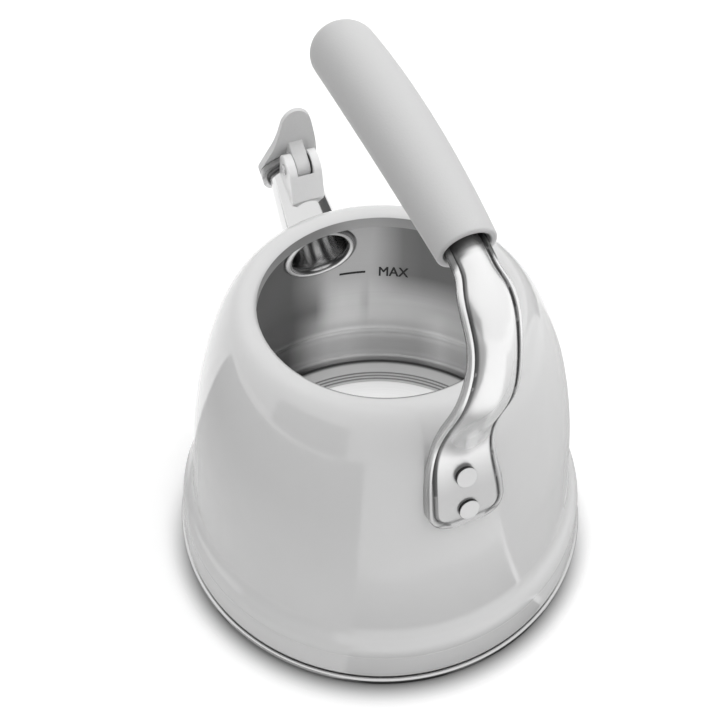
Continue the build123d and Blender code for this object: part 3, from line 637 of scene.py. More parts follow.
def shade_by(piece, grey):
    """Deepens a piece's shade attribute by a function of the place."""
    mesh = bmesh.from_edit_mesh(piece.data)
    layer = mesh.verts.layers.float.get("shade") or mesh.verts.layers.float.new("shade")
    for vertex in mesh.verts:
        vertex[layer] = max(vertex[layer], min(1.0, grey(vertex.co / MM)))
    bmesh.update_edit_mesh(piece.data)


def only(piece):
    """Makes a piece the one selected object, out of edit mode."""
    if bpy.context.object and bpy.context.object.mode == "EDIT":
        bpy.ops.object.mode_set(mode="OBJECT")
    bpy.ops.object.select_all(action="DESELECT")
    piece.select_set(True)
    bpy.context.view_layer.objects.active = piece


def edit(piece):
    """Opens a piece for editing with all of it selected."""
    only(piece)
    bpy.ops.object.mode_set(mode="EDIT")
    bpy.ops.mesh.select_all(action="SELECT")


def apply_modifier(piece, kind, **settings):
    only(piece)
    modifier = piece.modifiers.new(kind.title(), kind)
    for name, value in settings.items():
        setattr(modifier, name, value)
    bpy.ops.object.modifier_apply(modifier=modifier.name)


def soften(piece, width):
    """Rounds a piece's sharp edges."""
    apply_modifier(piece, "BEVEL", width=width, segments=3, limit_method="ANGLE", angle_limit=radians(35.0))


def cut(piece, cutter):
    """Takes the cutter's shape out of a piece."""
    apply_modifier(piece, "BOOLEAN", operation="DIFFERENCE", object=cutter, solver="EXACT")


def remove(piece):
    only(piece)
    bpy.ops.object.delete()


def joined(pieces):
    only(pieces[0])
    for piece in pieces:
        piece.select_set(True)
    bpy.ops.object.join()
    return pieces[0]


def node_copy(node):
    """A merged copy of a frame node's mesh, to be worked further."""
    piece = bpy.data.objects.new(node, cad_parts[node].data.copy())
    bpy.context.scene.collection.objects.link(piece)
    edit(piece)
    bpy.ops.mesh.remove_doubles(threshold=MERGE)
    bpy.ops.mesh.customdata_custom_splitnormals_clear()
    bpy.ops.mesh.dissolve_limited(angle_limit=radians(1.5))
    bpy.ops.object.mode_set(mode="OBJECT")
    return piece


def spout_cylinder(radius, s_from, s_to, radius_to=None):
    """A cone along the spout's axis, to cut with."""
    piece = begin(
        bpy.ops.mesh.primitive_cone_add,
        vertices=96,
        radius1=radius * MM,
        radius2=(radius_to or radius) * MM,
        depth=(s_to - s_from) * MM,
        location=spout_place((s_from + s_to) / 2, 0.0) * MM,
        rotation=(0.0, atan2(SPOUT_DIR.x, SPOUT_DIR.z), 0.0),
    )
    only(piece)
    return piece


def finish(piece, name, material, nodes=(), angle=35.0, body="kettle"):
    """Closes and smooths a piece, gives it its material and ties it to the frame."""
    edit(piece)
    bpy.ops.mesh.remove_doubles(threshold=MERGE)
    bpy.ops.mesh.normals_make_consistent(inside=False)
    bpy.ops.object.mode_set(mode="OBJECT")
    bpy.ops.object.shade_smooth_by_angle(angle=radians(angle))
    piece.name = piece.data.name = name
    piece.data.materials.clear()
    piece.data.materials.append(material)
    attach(piece, body)
    if nodes:
        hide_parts(*nodes)
    return piece


# Materials


def feed(tree, socket, source):
    """Links a socket, or sets it to a constant."""
    if isinstance(source, bpy.types.NodeSocket):
        tree.links.new(source, socket)
    else:
        socket.default_value = source


def add(tree, kind, *sources, **settings):
    """Adds a shader node with its settings, and feeds its inputs in order."""
    node = tree.nodes.new(f"ShaderNode{kind}")
    for name, value in settings.items():
        setattr(node, name, value)
    for socket, source in zip(node.inputs, sources):
        feed(tree, socket, source)
    return node


def paint(grey):
    return grey, grey, grey, 1.0


def blend(tree, kind, factor, a, b):
    """Mixes two colours, with a socket or a constant for each of them and for the factor."""
    node = add(tree, "Mix", data_type="RGBA", blend_type=kind)
    for name, source in (("Factor", factor), ("A", a), ("B", b)):
        feed(tree, node.inputs[name], source)
    return node.outputs["Result"]


def ramp(tree, stops, value):
    """Greys between places, each given as (place, grey), read at a value."""
    node = add(tree, "ValToRGB", value)
    marks = node.color_ramp.elements
    while len(marks) < len(stops):
        marks.new(0.5)
    for mark, (place, grey) in zip(marks, sorted(stops)):
        mark.position = place
        mark.color = paint(grey)
    return node.outputs["Color"]


def surface(name):
    """A finish that follows a fine grain in object space, with painted shade in grooves and on undersides
    where a piece's shade attribute marks them.
    """
    material = bpy.data.materials.get(f"kettle_{name}")
    if material:
        return material
    tint, rough, vary, metal, coat, grain, depth, tone, dark = LOOKS.get(name, CARD_LOOK)
    if isinstance(tint, str):
        tint = getattr(bpy.context.scene.kettle_colours, tint)
    tint, grain = [(value,) * 3 if isinstance(value, float) else value for value in (tint, grain)]
    material = bpy.data.materials.new(f"kettle_{name}")
    material.use_nodes = True
    tree = material.node_tree
    scale = add(tree, "Mapping", add(tree, "TexCoord").outputs["Object"])
    scale.inputs["Scale"].default_value = grain
    noise = add(tree, "TexNoise", scale.outputs["Vector"])
    noise.inputs["Scale"].default_value = 1.0
    noise.inputs["Detail"].default_value = 4.0
    fleck = noise.outputs["Fac"]
    low = (*[c * (1.0 - tone) for c in tint], 1.0)
    high = (*[min(1.0, c * (1.0 + tone)) for c in tint], 1.0)
    base = blend(tree, "MIX", fleck, low, high)
    # painted shade: the colour goes to the dark grey where the shade attribute is set
    if dark is not None:
        mark = add(tree, "Attribute", attribute_name="shade")
        base = blend(tree, "MIX", mark.outputs["Fac"], base, paint(dark))
    gloss = add(tree, "MapRange", fleck, 0.0, 1.0, max(0.0, rough - vary), min(1.0, rough + vary))
    relief = add(tree, "Bump")
    relief.inputs["Strength"].default_value = depth
    relief.inputs["Distance"].default_value = MM
    feed(tree, relief.inputs["Height"], fleck)
    sources = {
        "Base Color": base,
        "Roughness": gloss.outputs["Result"],
        "Normal": relief.outputs["Normal"],
        "Metallic": metal,
        "Coat Weight": coat,
        "Coat Roughness": COAT_ROUGHNESS,
    }
    for socket, source in sources.items():
        feed(tree, tree.nodes["Principled BSDF"].inputs[socket], source)
    return material


def brushed_inside():
    """Steel brushed around the kettle's axis, with painted reflections in upright bands beside its weld,
    painted shade up the wall and painted light at the neck.
    """
    material = surface("brushed_inside")
    tree = material.node_tree
    place, shader = tree.nodes["Texture Coordinate"].outputs["Object"], tree.nodes["Principled BSDF"]
    around = add(tree, "VectorMath", place, (0.0, 0.0, 1.0), operation="CROSS_PRODUCT")
    feed(tree, shader.inputs["Tangent"], around.outputs["Vector"])
    shader.inputs["Anisotropic"].default_value = BRUSHED
    turn = add(tree, "TexGradient", place, gradient_type="RADIAL").outputs["Fac"]
    height = add(tree, "SeparateXYZ", place).outputs["Z"]
    level = add(tree, "Math", height, 1.0 / (CREST[1] * MM), operation="MULTIPLY").outputs["Value"]
    band, low, high = [
        ramp(tree, [(0.5 + a / 360.0, grey) for a, grey in stops], turn)
        for stops in (FOOT_REFLECTION_BANDS, LOW_REFLECTION_BANDS, HIGH_REFLECTION_BANDS)
    ]
    *changes, tone = [
        ramp(tree, [(z / CREST[1], grey) for z, grey in stops], level)
        for stops in (FOOT_CHANGE, BAND_CHANGE, NECK_CHANGE, WALL_SHADE_TONES)
    ]
    for change, above in zip(changes, (low, high, paint(NECK_LIGHT_TONE))):
        band = blend(tree, "MIX", change, band, above)
    tone = blend(tree, "MULTIPLY", 1.0, band, tone)
    steel = blend(tree, "MULTIPLY", 1.0, tree.nodes["Mix"].outputs["Result"], tone)
    feed(tree, shader.inputs["Base Color"], steel)
    return material


def turned_floor():
    """Steel turned in rings: the grain follows the distance from the kettle's axis."""
    material = surface("turned_floor")
    tree = material.node_tree
    noise, place = tree.nodes["Noise Texture"], tree.nodes["Texture Coordinate"].outputs["Object"]
    noise.noise_dimensions = "1D"
    flat = add(tree, "VectorMath", place, RING_GRAIN, operation="MULTIPLY")
    distance = add(tree, "VectorMath", flat.outputs["Vector"], operation="LENGTH")
    feed(tree, noise.inputs["W"], distance.outputs["Value"])
    return material


def card_paper(name, tones, reach):
    """Grey card for painted reflections, whose tone changes from the base out to a distance from the kettle's
    axis.
    """
    material = surface(name)
    tree = material.node_tree
    place = tree.nodes["Texture Coordinate"].outputs["Object"]
    distance = add(tree, "VectorMath", place, operation="LENGTH").outputs["Value"]
    tone = ramp(tree, list(zip((BASE_R * MM, reach), tones)), distance)
    feed(tree, tree.nodes["Principled BSDF"].inputs["Base Color"], tone)
    return material


def seen_rays(tree):
    """1 for what the camera sees, straight, mirrored or through glass, and 0 for light on the object."""
    path = add(tree, "LightPath").outputs
    seen = add(tree, "Math", path["Is Camera Ray"], path["Is Glossy Ray"], operation="MAXIMUM")
    seen = add(tree, "Math", seen.outputs["Value"], path["Is Transmission Ray"], operation="MAXIMUM")
    return seen.outputs["Value"]


def floor_paper():
    """Pale paper with a painted contact shadow close to the front of the base."""
    material = surface("studio_floor")
    tree = material.node_tree
    place, shader = tree.nodes["Texture Coordinate"].outputs["Object"], tree.nodes["Principled BSDF"]
    distance = add(tree, "VectorMath", place, operation="LENGTH").outputs["Value"]
    towards = Vector((CAMERA_AT.x, CAMERA_AT.y, 0.0)).normalized()
    ahead = add(tree, "VectorMath", place, towards, operation="DOT_PRODUCT").outputs["Value"]
    near, front = [
        add(tree, "MapRange", value, *ends, interpolation_type="SMOOTHERSTEP").outputs["Result"]
        for value, ends in ((distance, CONTACT), (ahead, CONTACT_FRONT))
    ]
    both = add(tree, "Math", near, front, operation="MULTIPLY").outputs["Value"]
    tone = blend(tree, "MIX", both, tree.nodes["Mix"].outputs["Result"], paint(CONTACT_SHADOW_TONE))
    clear = add(tree, "MapRange", both, 0.0, 1.0, FLOOR_GLOW, 0.0).outputs["Result"]
    glow = add(tree, "Math", clear, seen_rays(tree), operation="MULTIPLY").outputs["Value"]
    for socket, source in (("Base Color", tone), ("Emission Color", paint(1.0)), ("Emission Strength", glow)):
        feed(tree, shader.inputs[socket], source)
    return material


# Operators, one for each piece or group


class KETTLE_OT_body(bpy.types.Operator):
    """Turn the enamelled wall, the steel lining behind it and the skirt"""

    bl_idname = "kettle.body"
    bl_label = "Body and Lining"
    bl_options = {"REGISTER", "UNDO"}

    def execute(self, context):
        steps, enamel = sizes().round_steps, surface("enamel_gloss")
        outer, back = wall_profile(0.0), wall_profile(ENAMEL_DEPTH)
        outer[0] = (outer[0][0] - SEAM_GROOVE, outer[0][1] + SEAM_GROOVE / 2)
        outer.insert(1, (SEAM[0], SEAM[1] + SEAM_GROOVE * 1.5))
        back[0] = (back[0][0], outer[0][1])
        wall = turned(outer + back[::-1], steps)
        shade_by(wall, lip_shade)

        lining = skirt_profile(SHEET)[::-1] + wall_profile(SHEET)[1:]
        lining += [(MOUTH_R + SHEET, NECK_LOW), (MOUTH_R + LINER_DEPTH, NECK_LOW)]
        lining += wall_profile(LINER_DEPTH)[::-1] + skirt_profile(LINER_DEPTH)[1:]
        inside = turned(lining, steps)

        tip_r = SPOUT_TIP_R + ROOT_ROOM
        root = spout_cylinder(tip_r + SPOUT_SLOPE * ROOT_CUT, -ROOT_CUT, 0.0, tip_r)
        cut(wall, root)
        cut(inside, root)
        remove(root)
        finish(wall, "enamel_wall", enamel, ["body_shell"])
        finish(inside, "steel_lining", brushed_inside())

        band, hidden = skirt_profile(0.0), skirt_profile(ENAMEL_DEPTH)
        band[0] = (band[0][0] - SEAM_GROOVE, band[0][1] - SEAM_GROOVE / 2)
        band.insert(1, (SEAM[0] + SKIRT_STEP, SEAM[1] - SEAM_GROOVE * 1.5))
        hidden[0] = (hidden[0][0], band[0][1])
        skirt = turned(band + hidden[::-1], steps)
        finish(skirt, "enamel_skirt", enamel, ["base_skirt"])
        return {"FINISHED"}


class KETTLE_OT_base(bpy.types.Operator):
    """Turn the steel base with its rolled ring, and the ringed floor inside"""

    bl_idname = "kettle.base"
    bl_label = "Base and Floor"
    bl_options = {"REGISTER", "UNDO"}

    def execute(self, context):
        steps = sizes().round_steps
        flat, edge, roll = (BASE_FLAT_R, 0.0), (BASE_R, 0.0), (BASE_R, BASE_RING_H)
        profile = [(0.0, 0.0), flat] + corner(flat, edge, roll, BASE_EDGE)
        profile += corner(edge, roll, BASE_TURN_IN[0], BASE_ROLL) + BASE_TURN_IN + [(0.0, BASE_SHEET)]
        # painted shade on the lower edge of the base ring
        base = turned(profile, steps, shades=BASE_SHADES)
        finish(base, "base_ring", surface("base_steel"), ["base_cap"])

        foot, head, edge = (FLOOR_FOOT_R, FLANGE_TOP), (FLOOR_HEAD_R, FLOOR_TOP), (FLOOR_RAISED_R, FLOOR_TOP)
        profile = [foot] + corner(foot, head, edge, FLOOR_CORNER) + [(FLOOR_HEAD_R - FLOOR_RIM, FLOOR_TOP)]
        for r in reversed(FLOOR_RINGS):
            profile += [(r + FLOOR_RING_R + FLOOR_RING_EDGE, FLOOR_TOP)]
            profile += arc((r, FLOOR_TOP), FLOOR_RING_R, 0, -180, 7)
        profile += [(FLOOR_RAISED_R + out, FLOOR_TOP + up) for out, up in FLOOR_STEP]
        profile += [(0.0, FLOOR_TOP + FLOOR_RAISED_H), (0.0, FLOOR_LOW)] + FLOOR_UNDER
        # painted shade in the gap at the floor's edge, on its border and in its rings
        shades = FLOOR_RIM_SHADES + FLOOR_RING_SHADES * len(FLOOR_RINGS) + FLOOR_STEP_SHADES
        shades += [0.0] * (len(profile) - len(shades))
        floor = turned(profile, steps, shades=shades)
        finish(floor, "ringed_floor", turned_floor(), ["floor_disc"])
        return {"FINISHED"}


class KETTLE_OT_spout(bpy.types.Operator):
    """Draw the tapered spout, its rolled root inside the wall and the hinge bracket on top"""

    bl_idname = "kettle.spout"
    bl_label = "Spout and Bracket"
    bl_options = {"REGISTER", "UNDO"}

    def execute(self, context):
        turns = spread(0.0, 2 * pi, 97)[:-1]

        def around(radius, s):
            return [spout_point(radius, a, s) for a in turns]

        def on_wall(radius, inset):
            return [spout_point(radius, a, spout_wall_s(radius, a, inset)) for a in turns]

        def tube_r(s, inset=0.0):
            return SPOUT_TIP_R - SPOUT_SLOPE * s - inset

        lip = SPOUT_SHEET / 2
        rings = [on_wall(ROOT_R, ROOT_INSET)]
        rings += [around(tube_r(s), s) for s in spread(SPOUT_FROM, -lip, 9)]
        rings += [around(r, s) for r, s in arc((SPOUT_TIP_R - lip, -lip), lip, 22.5, 157.5, 7)]
        rings += [around(tube_r(s, SPOUT_SHEET), s) for s in spread(-lip, SPOUT_FROM, 9)]
        rings += [on_wall(ROOT_R - SPOUT_SHEET, ROOT_INSET)]
        tube = lofted(rings, closed=True)
        finish(tube, "spout_tube_polished", surface("spout_steel"), ["spout_tube"])

        collar = lofted([on_wall(r, SHEET + h) for r, h in COLLAR_SECTION], closed=True)
        # painted shade on the ring's crown and edges, with painted highlight lines between
        shade_by(collar, root_ring_shade)
        steel = surface("ring_steel")
        finish(collar, "spout_root_ring", steel, ["spout_collar"], angle=50.0)

        bracket = node_copy("spout_bracket")
        for vertex in bracket.data.vertices:
            arm = vertex.co / MM - spout_place(*HINGE)
            over, ahead = arm.dot(SPOUT_UP), arm.dot(SPOUT_DIR)
            if hypot(over, ahead) > 2 * PIN_BORE_R:
                vertex.co -= SPOUT_UP * (MM * EAR_TRIM * max(0.0, over))
                vertex.co -= SPOUT_DIR * (MM * EAR_SLIM * max(0.0, ahead - EAR_FOOT))
        soften(bracket, sizes().bracket_edge)
        metal = surface("bracket_paint")
        finish(bracket, "hinge_bracket", metal, ["spout_bracket"], angle=40.0)
        return {"FINISHED"}


class KETTLE_OT_cap(bpy.types.Operator):
    """Draw the cap's plate with its paddle, and soften the holder behind it"""

    bl_idname = "kettle.cap"
    bl_label = "Cap"
    bl_options = {"REGISTER", "UNDO"}

    def execute(self, context):
        low, top = radians(PADDLE_FROM), radians(PADDLE_TO)
        top_n = PADDLE_TOP - PADDLE_TOP_R
        start = (CAP_R * cos(low), CAP_R * sin(low))
        end = (PADDLE_TOP_R * cos(top), top_n + PADDLE_TOP_R * sin(top))
        poles = [
            start,
            (start[0] - sin(low) * PADDLE_PULL, start[1] + cos(low) * PADDLE_PULL),
            (end[0] + sin(top) * PADDLE_PULL, end[1] - cos(top) * PADDLE_PULL),
            end,
        ]
        half = arc((0.0, 0.0), CAP_R, -90, PADDLE_FROM, 22)[1:]
        half += [curve_point(poles, t) for t in spread(0.0, 1.0, 22)[1:]]
        half += arc((0.0, top_n), PADDLE_TOP_R, PADDLE_TO, 90, 12)[1:-1]
        outline = [(0.0, -CAP_R)] + half + [(0.0, PADDLE_TOP)] + [(-y, n) for y, n in reversed(half)]

        back_s, middle_s, rim_s = [CAP_FRONT - CAP_T + s for s in (0.0, CAP_T / 2, RIM_LINE)]
        plate = extruded([spout_place(back_s, n, y) for y, n in outline], SPOUT_DIR * CAP_T)
        select_edges(plate, lambda place: along_spout(place) > middle_s)
        bpy.ops.mesh.bevel(offset=sizes().cap_edge, segments=5, affect="EDGES", clamp_overlap=True)
        select_edges(plate, lambda place: along_spout(place) < back_s + NEARLY)
        bpy.ops.mesh.bevel(offset=CAP_BACK_EDGE * MM, segments=6, affect="EDGES", clamp_overlap=True)
        # painted shade on the plate's edge band, deepest at the rim line
        shade_by(plate, lambda place: RIM_SHADE - RIM_SHADE_FALL * abs(along_spout(place) - rim_s))
        for n in spread(PADDLE_BEND_FROM, PADDLE_TOP - 1.0, 14):
            bpy.ops.mesh.select_all(action="SELECT")
            bpy.ops.mesh.bisect(plane_co=spout_place(0.0, n) * MM, plane_no=SPOUT_UP)
        rise = PADDLE_TOP - PADDLE_BEND_FROM
        bend_r = (rise**2 + PADDLE_FORWARD**2) / (2 * PADDLE_FORWARD)
        mesh = bmesh.from_edit_mesh(plate.data)
        for vertex in mesh.verts:
            over = above_spout(vertex.co / MM) - PADDLE_BEND_FROM
            if over > 0.0:
                depth = along_spout(vertex.co / MM) - back_s
                thinner = PADDLE_TAPER * (CAP_T - depth) * over / rise
                vertex.co += SPOUT_DIR * ((bend_r - sqrt(bend_r**2 - over**2) + thinner) * MM)
        bmesh.update_edit_mesh(plate.data)

        reach = Vector((ARM_END - HINGE[0], ARM_TOP - HINGE[1]))
        tangent = degrees(atan2(reach.y, reach.x) + acos(KNUCKLE_R / reach.length))
        profile = [(ARM_END, HINGE[1] - KNUCKLE_R), (ARM_END, ARM_TOP)]
        profile += arc(HINGE, KNUCKLE_R, tangent, 270, 22)
        arm = extruded([spout_place(s, n, -ARM_W / 2) for s, n in profile], Vector((0.0, ARM_W, 0.0)))
        bpy.ops.mesh.select_all(action="SELECT")
        bpy.ops.mesh.normals_make_consistent(inside=False)
        soften(arm, ARM_EDGE * MM)
        pin = begin(
            bpy.ops.mesh.primitive_cylinder_add,
            vertices=48,
            radius=PIN_BORE_R * MM,
            depth=2 * ARM_W * MM,
            location=spout_place(*HINGE) * MM,
            rotation=(pi / 2, 0.0, 0.0),
        )
        cut(arm, pin)
        remove(pin)
        edit(plate)
        bpy.ops.mesh.normals_make_consistent(inside=False)
        apply_modifier(plate, "BOOLEAN", operation="UNION", object=arm, solver="EXACT")
        remove(arm)
        for radius, s_to in ((WHISTLE_R, CAP_FRONT - WINDOW_RIM), (WINDOW_R, CAP_FRONT + WINDOW_REACH)):
            cutter = spout_cylinder(radius, 0.0, s_to)
            cut(plate, cutter)
            remove(cutter)
        metal = surface("cap_paint")
        finish(plate, "cap_plate", metal, ["cap_cover"], angle=40.0, body="cap")

        holder = node_copy("cap_holder")
        edit(holder)
        # painted shade on the holder, deepening from its drip guard up to the ring under the cap plate
        shade_by(holder, lambda place: HOLDER_SHADE_RISE * (above_spout(place) - HOLDER_SHADE_FROM))
        soften(holder, sizes().bracket_edge)
        metal = surface("holder_paint")
        finish(holder, "cap_holder_light", metal, ["cap_holder"], angle=40.0, body="cap")
        return {"FINISHED"}


def strap_section(half, lip, foot, depth, flat, ridge, narrow, hug, belly):
    """Closed section of the strap as (y, height) points: raised middle, grooves, rims and back."""
    face, edge, round_r = STRAP_T / 2, sizes().strap_edge / MM, STRAP_BACK_EDGE
    points = []
    for a in spread(-90.0, 90.0, STRAP_FRONT_STEPS):
        v, c = sin(radians(a)), max(0.0, cos(radians(a)))
        level = flat * max(0.0, 1.0 - abs(v) ** 9) ** (1.0 / 9)
        points.append((v * foot, face + level + ridge * c ** (2 * narrow)))
    side = [(foot + 0.03, face - depth), ((foot + lip) / 2, face - 0.8 * depth)]
    side += [(lip - 0.03, face - 0.15 * depth)]
    side += arc((half - edge, face - edge), edge, 90, 0, 4)
    side += [
        (half - round_r * (1 - cos(radians(a))), -face + round_r * (1 - sin(radians(a)))) for a in (0, 45, 90)
    ]
    turns = [radians(a) for a in spread(90.0, -90.0, STRAP_BACK_STEPS)]
    back = [(foot * sin(a), -face - belly * cos(a)) for a in turns]
    points += side + back + [(-y, h) for y, h in reversed(side)]
    return [(y, h - hug * y * y / (2 * PAD_BACK_R) if h < 0.0 else h) for y, h in points]


def strap_shades():
    """Painted shade at each point of the strap's section: deep at the foot of the raised middle and low on
    its sides.
    """
    turns = spread(-90.0, 90.0, STRAP_FRONT_STEPS)
    front = [max(0.0, min(FRONT_SHADE, (abs(a) - FRONT_SHADE_FROM) / FRONT_SHADE_OVER)) for a in turns]
    return front + STRAP_SIDE_SHADES + [0.0] * STRAP_BACK_STEPS + STRAP_SIDE_SHADES[::-1]


class KETTLE_OT_handle(bpy.types.Operator):
    """Draw the strap from its riveted pad up into the grip, with the two rivets"""

    bl_idname = "kettle.handle"
    bl_label = "Strap and Rivets"
    bl_options = {"REGISTER", "UNDO"}

    def execute(self, context):
        lift = STRAP_T / 2 + STRAP_GAP
        points = []
        for z in PAD_HEIGHTS:
            out = wall_out(z)
            points.append(Vector((-(wall_radius(z) + out[0] * lift), z + out[1] * lift)))
        points += [Vector(p) for p in STRAP_PATH]
        chord = (GRIP_FAR - GRIP_NEAR).length
        core, tang = grip_station(GRIP_MOUTH / chord), grip_station(TANG_TO / chord)
        points += [GRIP_NEAR, core[0], tang[0]]
        foot = wall_out(PAD_HEIGHTS[0])
        stops = spread(PAD_CORNER, PAD_CORNER + STRAP_LENGTH, 145)
        for start in (0.0, PAD_RIM, PAD_RIM + PAD_GROOVE):
            stops += [start + (PAD_CORNER - start) * (1.0 - cos(radians(a))) for a in spread(0.0, 84.0, 15)]
        stops = [b for a, b in zip([-1.0] + sorted(stops), sorted(stops)) if b - a > STOP_GAP]
        path = smooth_path(points, Vector((foot[1], foot[0])), tang[1], stops)
        low = path[0].y
        table = [Vector(p) for p in ((low + PAD_CORNER, PAD_WIDTH), *STRAP_WIDTHS)]
        widths = smooth_path(table, Vector((1, 0)), Vector((1, 0)), spread(0.0, 130.0, 131))

        def half_width(z, rim):
            """Half the strap's width at a height, inside a rim."""
            drop = low + PAD_CORNER - z
            if drop >= 0.0:
                return PAD_WIDTH / 2 - PAD_CORNER + sqrt(max(0.0, (PAD_CORNER - rim) ** 2 - drop**2))
            return looked_up(widths, z, STRAP_WIDTHS[-1][1]) / 2 - rim

        rings = []
        crown = sizes().strap_crown / MM
        for i, centre in enumerate(path):
            before, after = path[max(0, i - 1)], path[min(len(path) - 1, i + 1)]
            ahead = (after - before).normalized()
            up = centre.y - low
            slim, domed = eased(up, *SLIM_OVER), eased(up, *DOMED_OVER)
            rim = PAD_RIM + (STRAP_RIM - PAD_RIM) * slim
            groove = PAD_GROOVE + (STRAP_GROOVE - PAD_GROOVE) * slim
            section = strap_section(
                half_width(centre.y, 0.0),
                half_width(centre.y, rim),
                half_width(centre.y, rim + groove),
                depth=GROOVE_DEPTH * eased(up, *GROOVE_OVER),
                flat=PAD_RISE * eased(up, *RISE_OVER) * (1.0 - domed),
                ridge=crown * domed,
                narrow=RIDGE_NARROW - RIDGE_WIDEN * eased(up, *NARROW_OVER),
                hug=1.0 - eased(up, *HUG_OVER),
                belly=crown * eased(up, *BELLY_OVER),
            )
            rings.append([Vector((centre.x - ahead.y * h, y, centre.y + ahead.x * h)) for y, h in section])
        near, heading, _ = grip_station(0.0)

        def shade(place):
            """Painted darker reflection on the pad, and painted shade along the groove at its foot and close
            to the grip's mouth.
            """
            into = (Vector((place.x, place.z)) - near).dot(heading) + MOUTH_CURVE * place.y**2
            up = place.z - low - PAD_SHADE_FROM
            pad = PAD_SHADE * (1.0 - eased(up, *PAD_SHADE_OVER))
            pad += PAD_GROOVE_SHADE * max(0.0, 1.0 - abs(2 * (up - PAD_RIM) / PAD_GROOVE - 1.0))
            return max(pad, MOUTH_SHADE * eased(into, *MOUTH_SHADE_OVER))

        steel = surface("strap_steel")
        strap = lofted(rings, shades=strap_shades())
        shade_by(strap, shade)
        finish(strap, "handle_strap_polished", steel, ["handle_strap"], angle=50.0)

        heads = []
        profile = [(0.0, RIVET_TOP), (RIVET_HEAD_R - 2 * RIVET_EDGE, RIVET_TOP)]
        rim, seat = (RIVET_HEAD_R, RIVET_TOP), (RIVET_HEAD_R, RIVET_SEAT)
        profile += corner(profile[0], rim, seat, RIVET_EDGE, 6)
        profile += [seat, (RIVET_R, RIVET_SEAT), (RIVET_R, -RIVET_REACH), *RIVET_TAIL]
        # painted shade on the rivet heads: light on their tops, dark on their sides
        shades = [0.3] * 6 + [0.6] + [1.0] * (len(profile) - 7)
        for z in RIVET_HEIGHTS:
            out, place = wall_out(z), Vector((-wall_radius(z), 0.0, z))
            axis = Vector((-out[0], 0.0, out[1]))
            heads.append(turned(profile, 64, place, axis, Vector((0.0, 1.0, 0.0)), shades))
        finish(joined(heads), "rivet_heads", steel, ["handle_rivets"])
        return {"FINISHED"}


class KETTLE_OT_grip(bpy.types.Operator):
    """Draw the soft grip, open where the strap goes in and rounded at its free end"""

    bl_idname = "kettle.grip"
    bl_label = "Grip"
    bl_options = {"REGISTER", "UNDO"}

    def execute(self, context):
        chord = (GRIP_FAR - GRIP_NEAR).length
        turns = spread(0.0, 2 * pi, 73)[:-1]

        def ring(distance, inset):
            point, heading, half = grip_station(distance / chord)
            over = Vector((-heading.y, heading.x))
            section = [((half[0] - inset) * sin(a), (half[1] - inset) * cos(a)) for a in turns]
            return [Vector((point.x + over.x * h, y, point.y + over.y * h)) for y, h in section]

        rim, end = GRIP_WALL / 2, chord - GRIP_END
        rings = [ring(GRIP_MOUTH, GRIP_WALL + GRIP_STEP)]
        rings += [ring(distance, GRIP_WALL) for distance in (GRIP_MOUTH, GRIP_MOUTH / 2, rim)]
        quarter = [radians(a) for a in (0, 30, 60, 90)]
        rings += [ring(rim - GRIP_RIM * sin(a), GRIP_WALL - GRIP_RIM * (1.0 - cos(a))) for a in quarter[1:]]
        rings += [ring(rim - GRIP_RIM * cos(a), GRIP_RIM * (1.0 - sin(a))) for a in quarter]
        rings += [ring(d, 0.0) for d in spread(GRIP_SKIN_FROM, end, 40)]
        round_r = grip_station(1.0)[2][1] - GRIP_BLUNT
        for a in spread(6.0, 88.5, 14):
            rings.append(ring(end + GRIP_END * sin(radians(a)), round_r * (1.0 - cos(radians(a)))))
        grip = lofted(rings)
        # painted shade: the grip darker towards +Y, away from the key lamp
        shade_by(grip, lambda place: GRIP_SHADE + GRIP_SHADE_RISE * place.y)
        soft = surface("soft_touch")
        finish(grip, "soft_grip", soft, ["grip_sleeve"], angle=50.0)
        return {"FINISHED"}


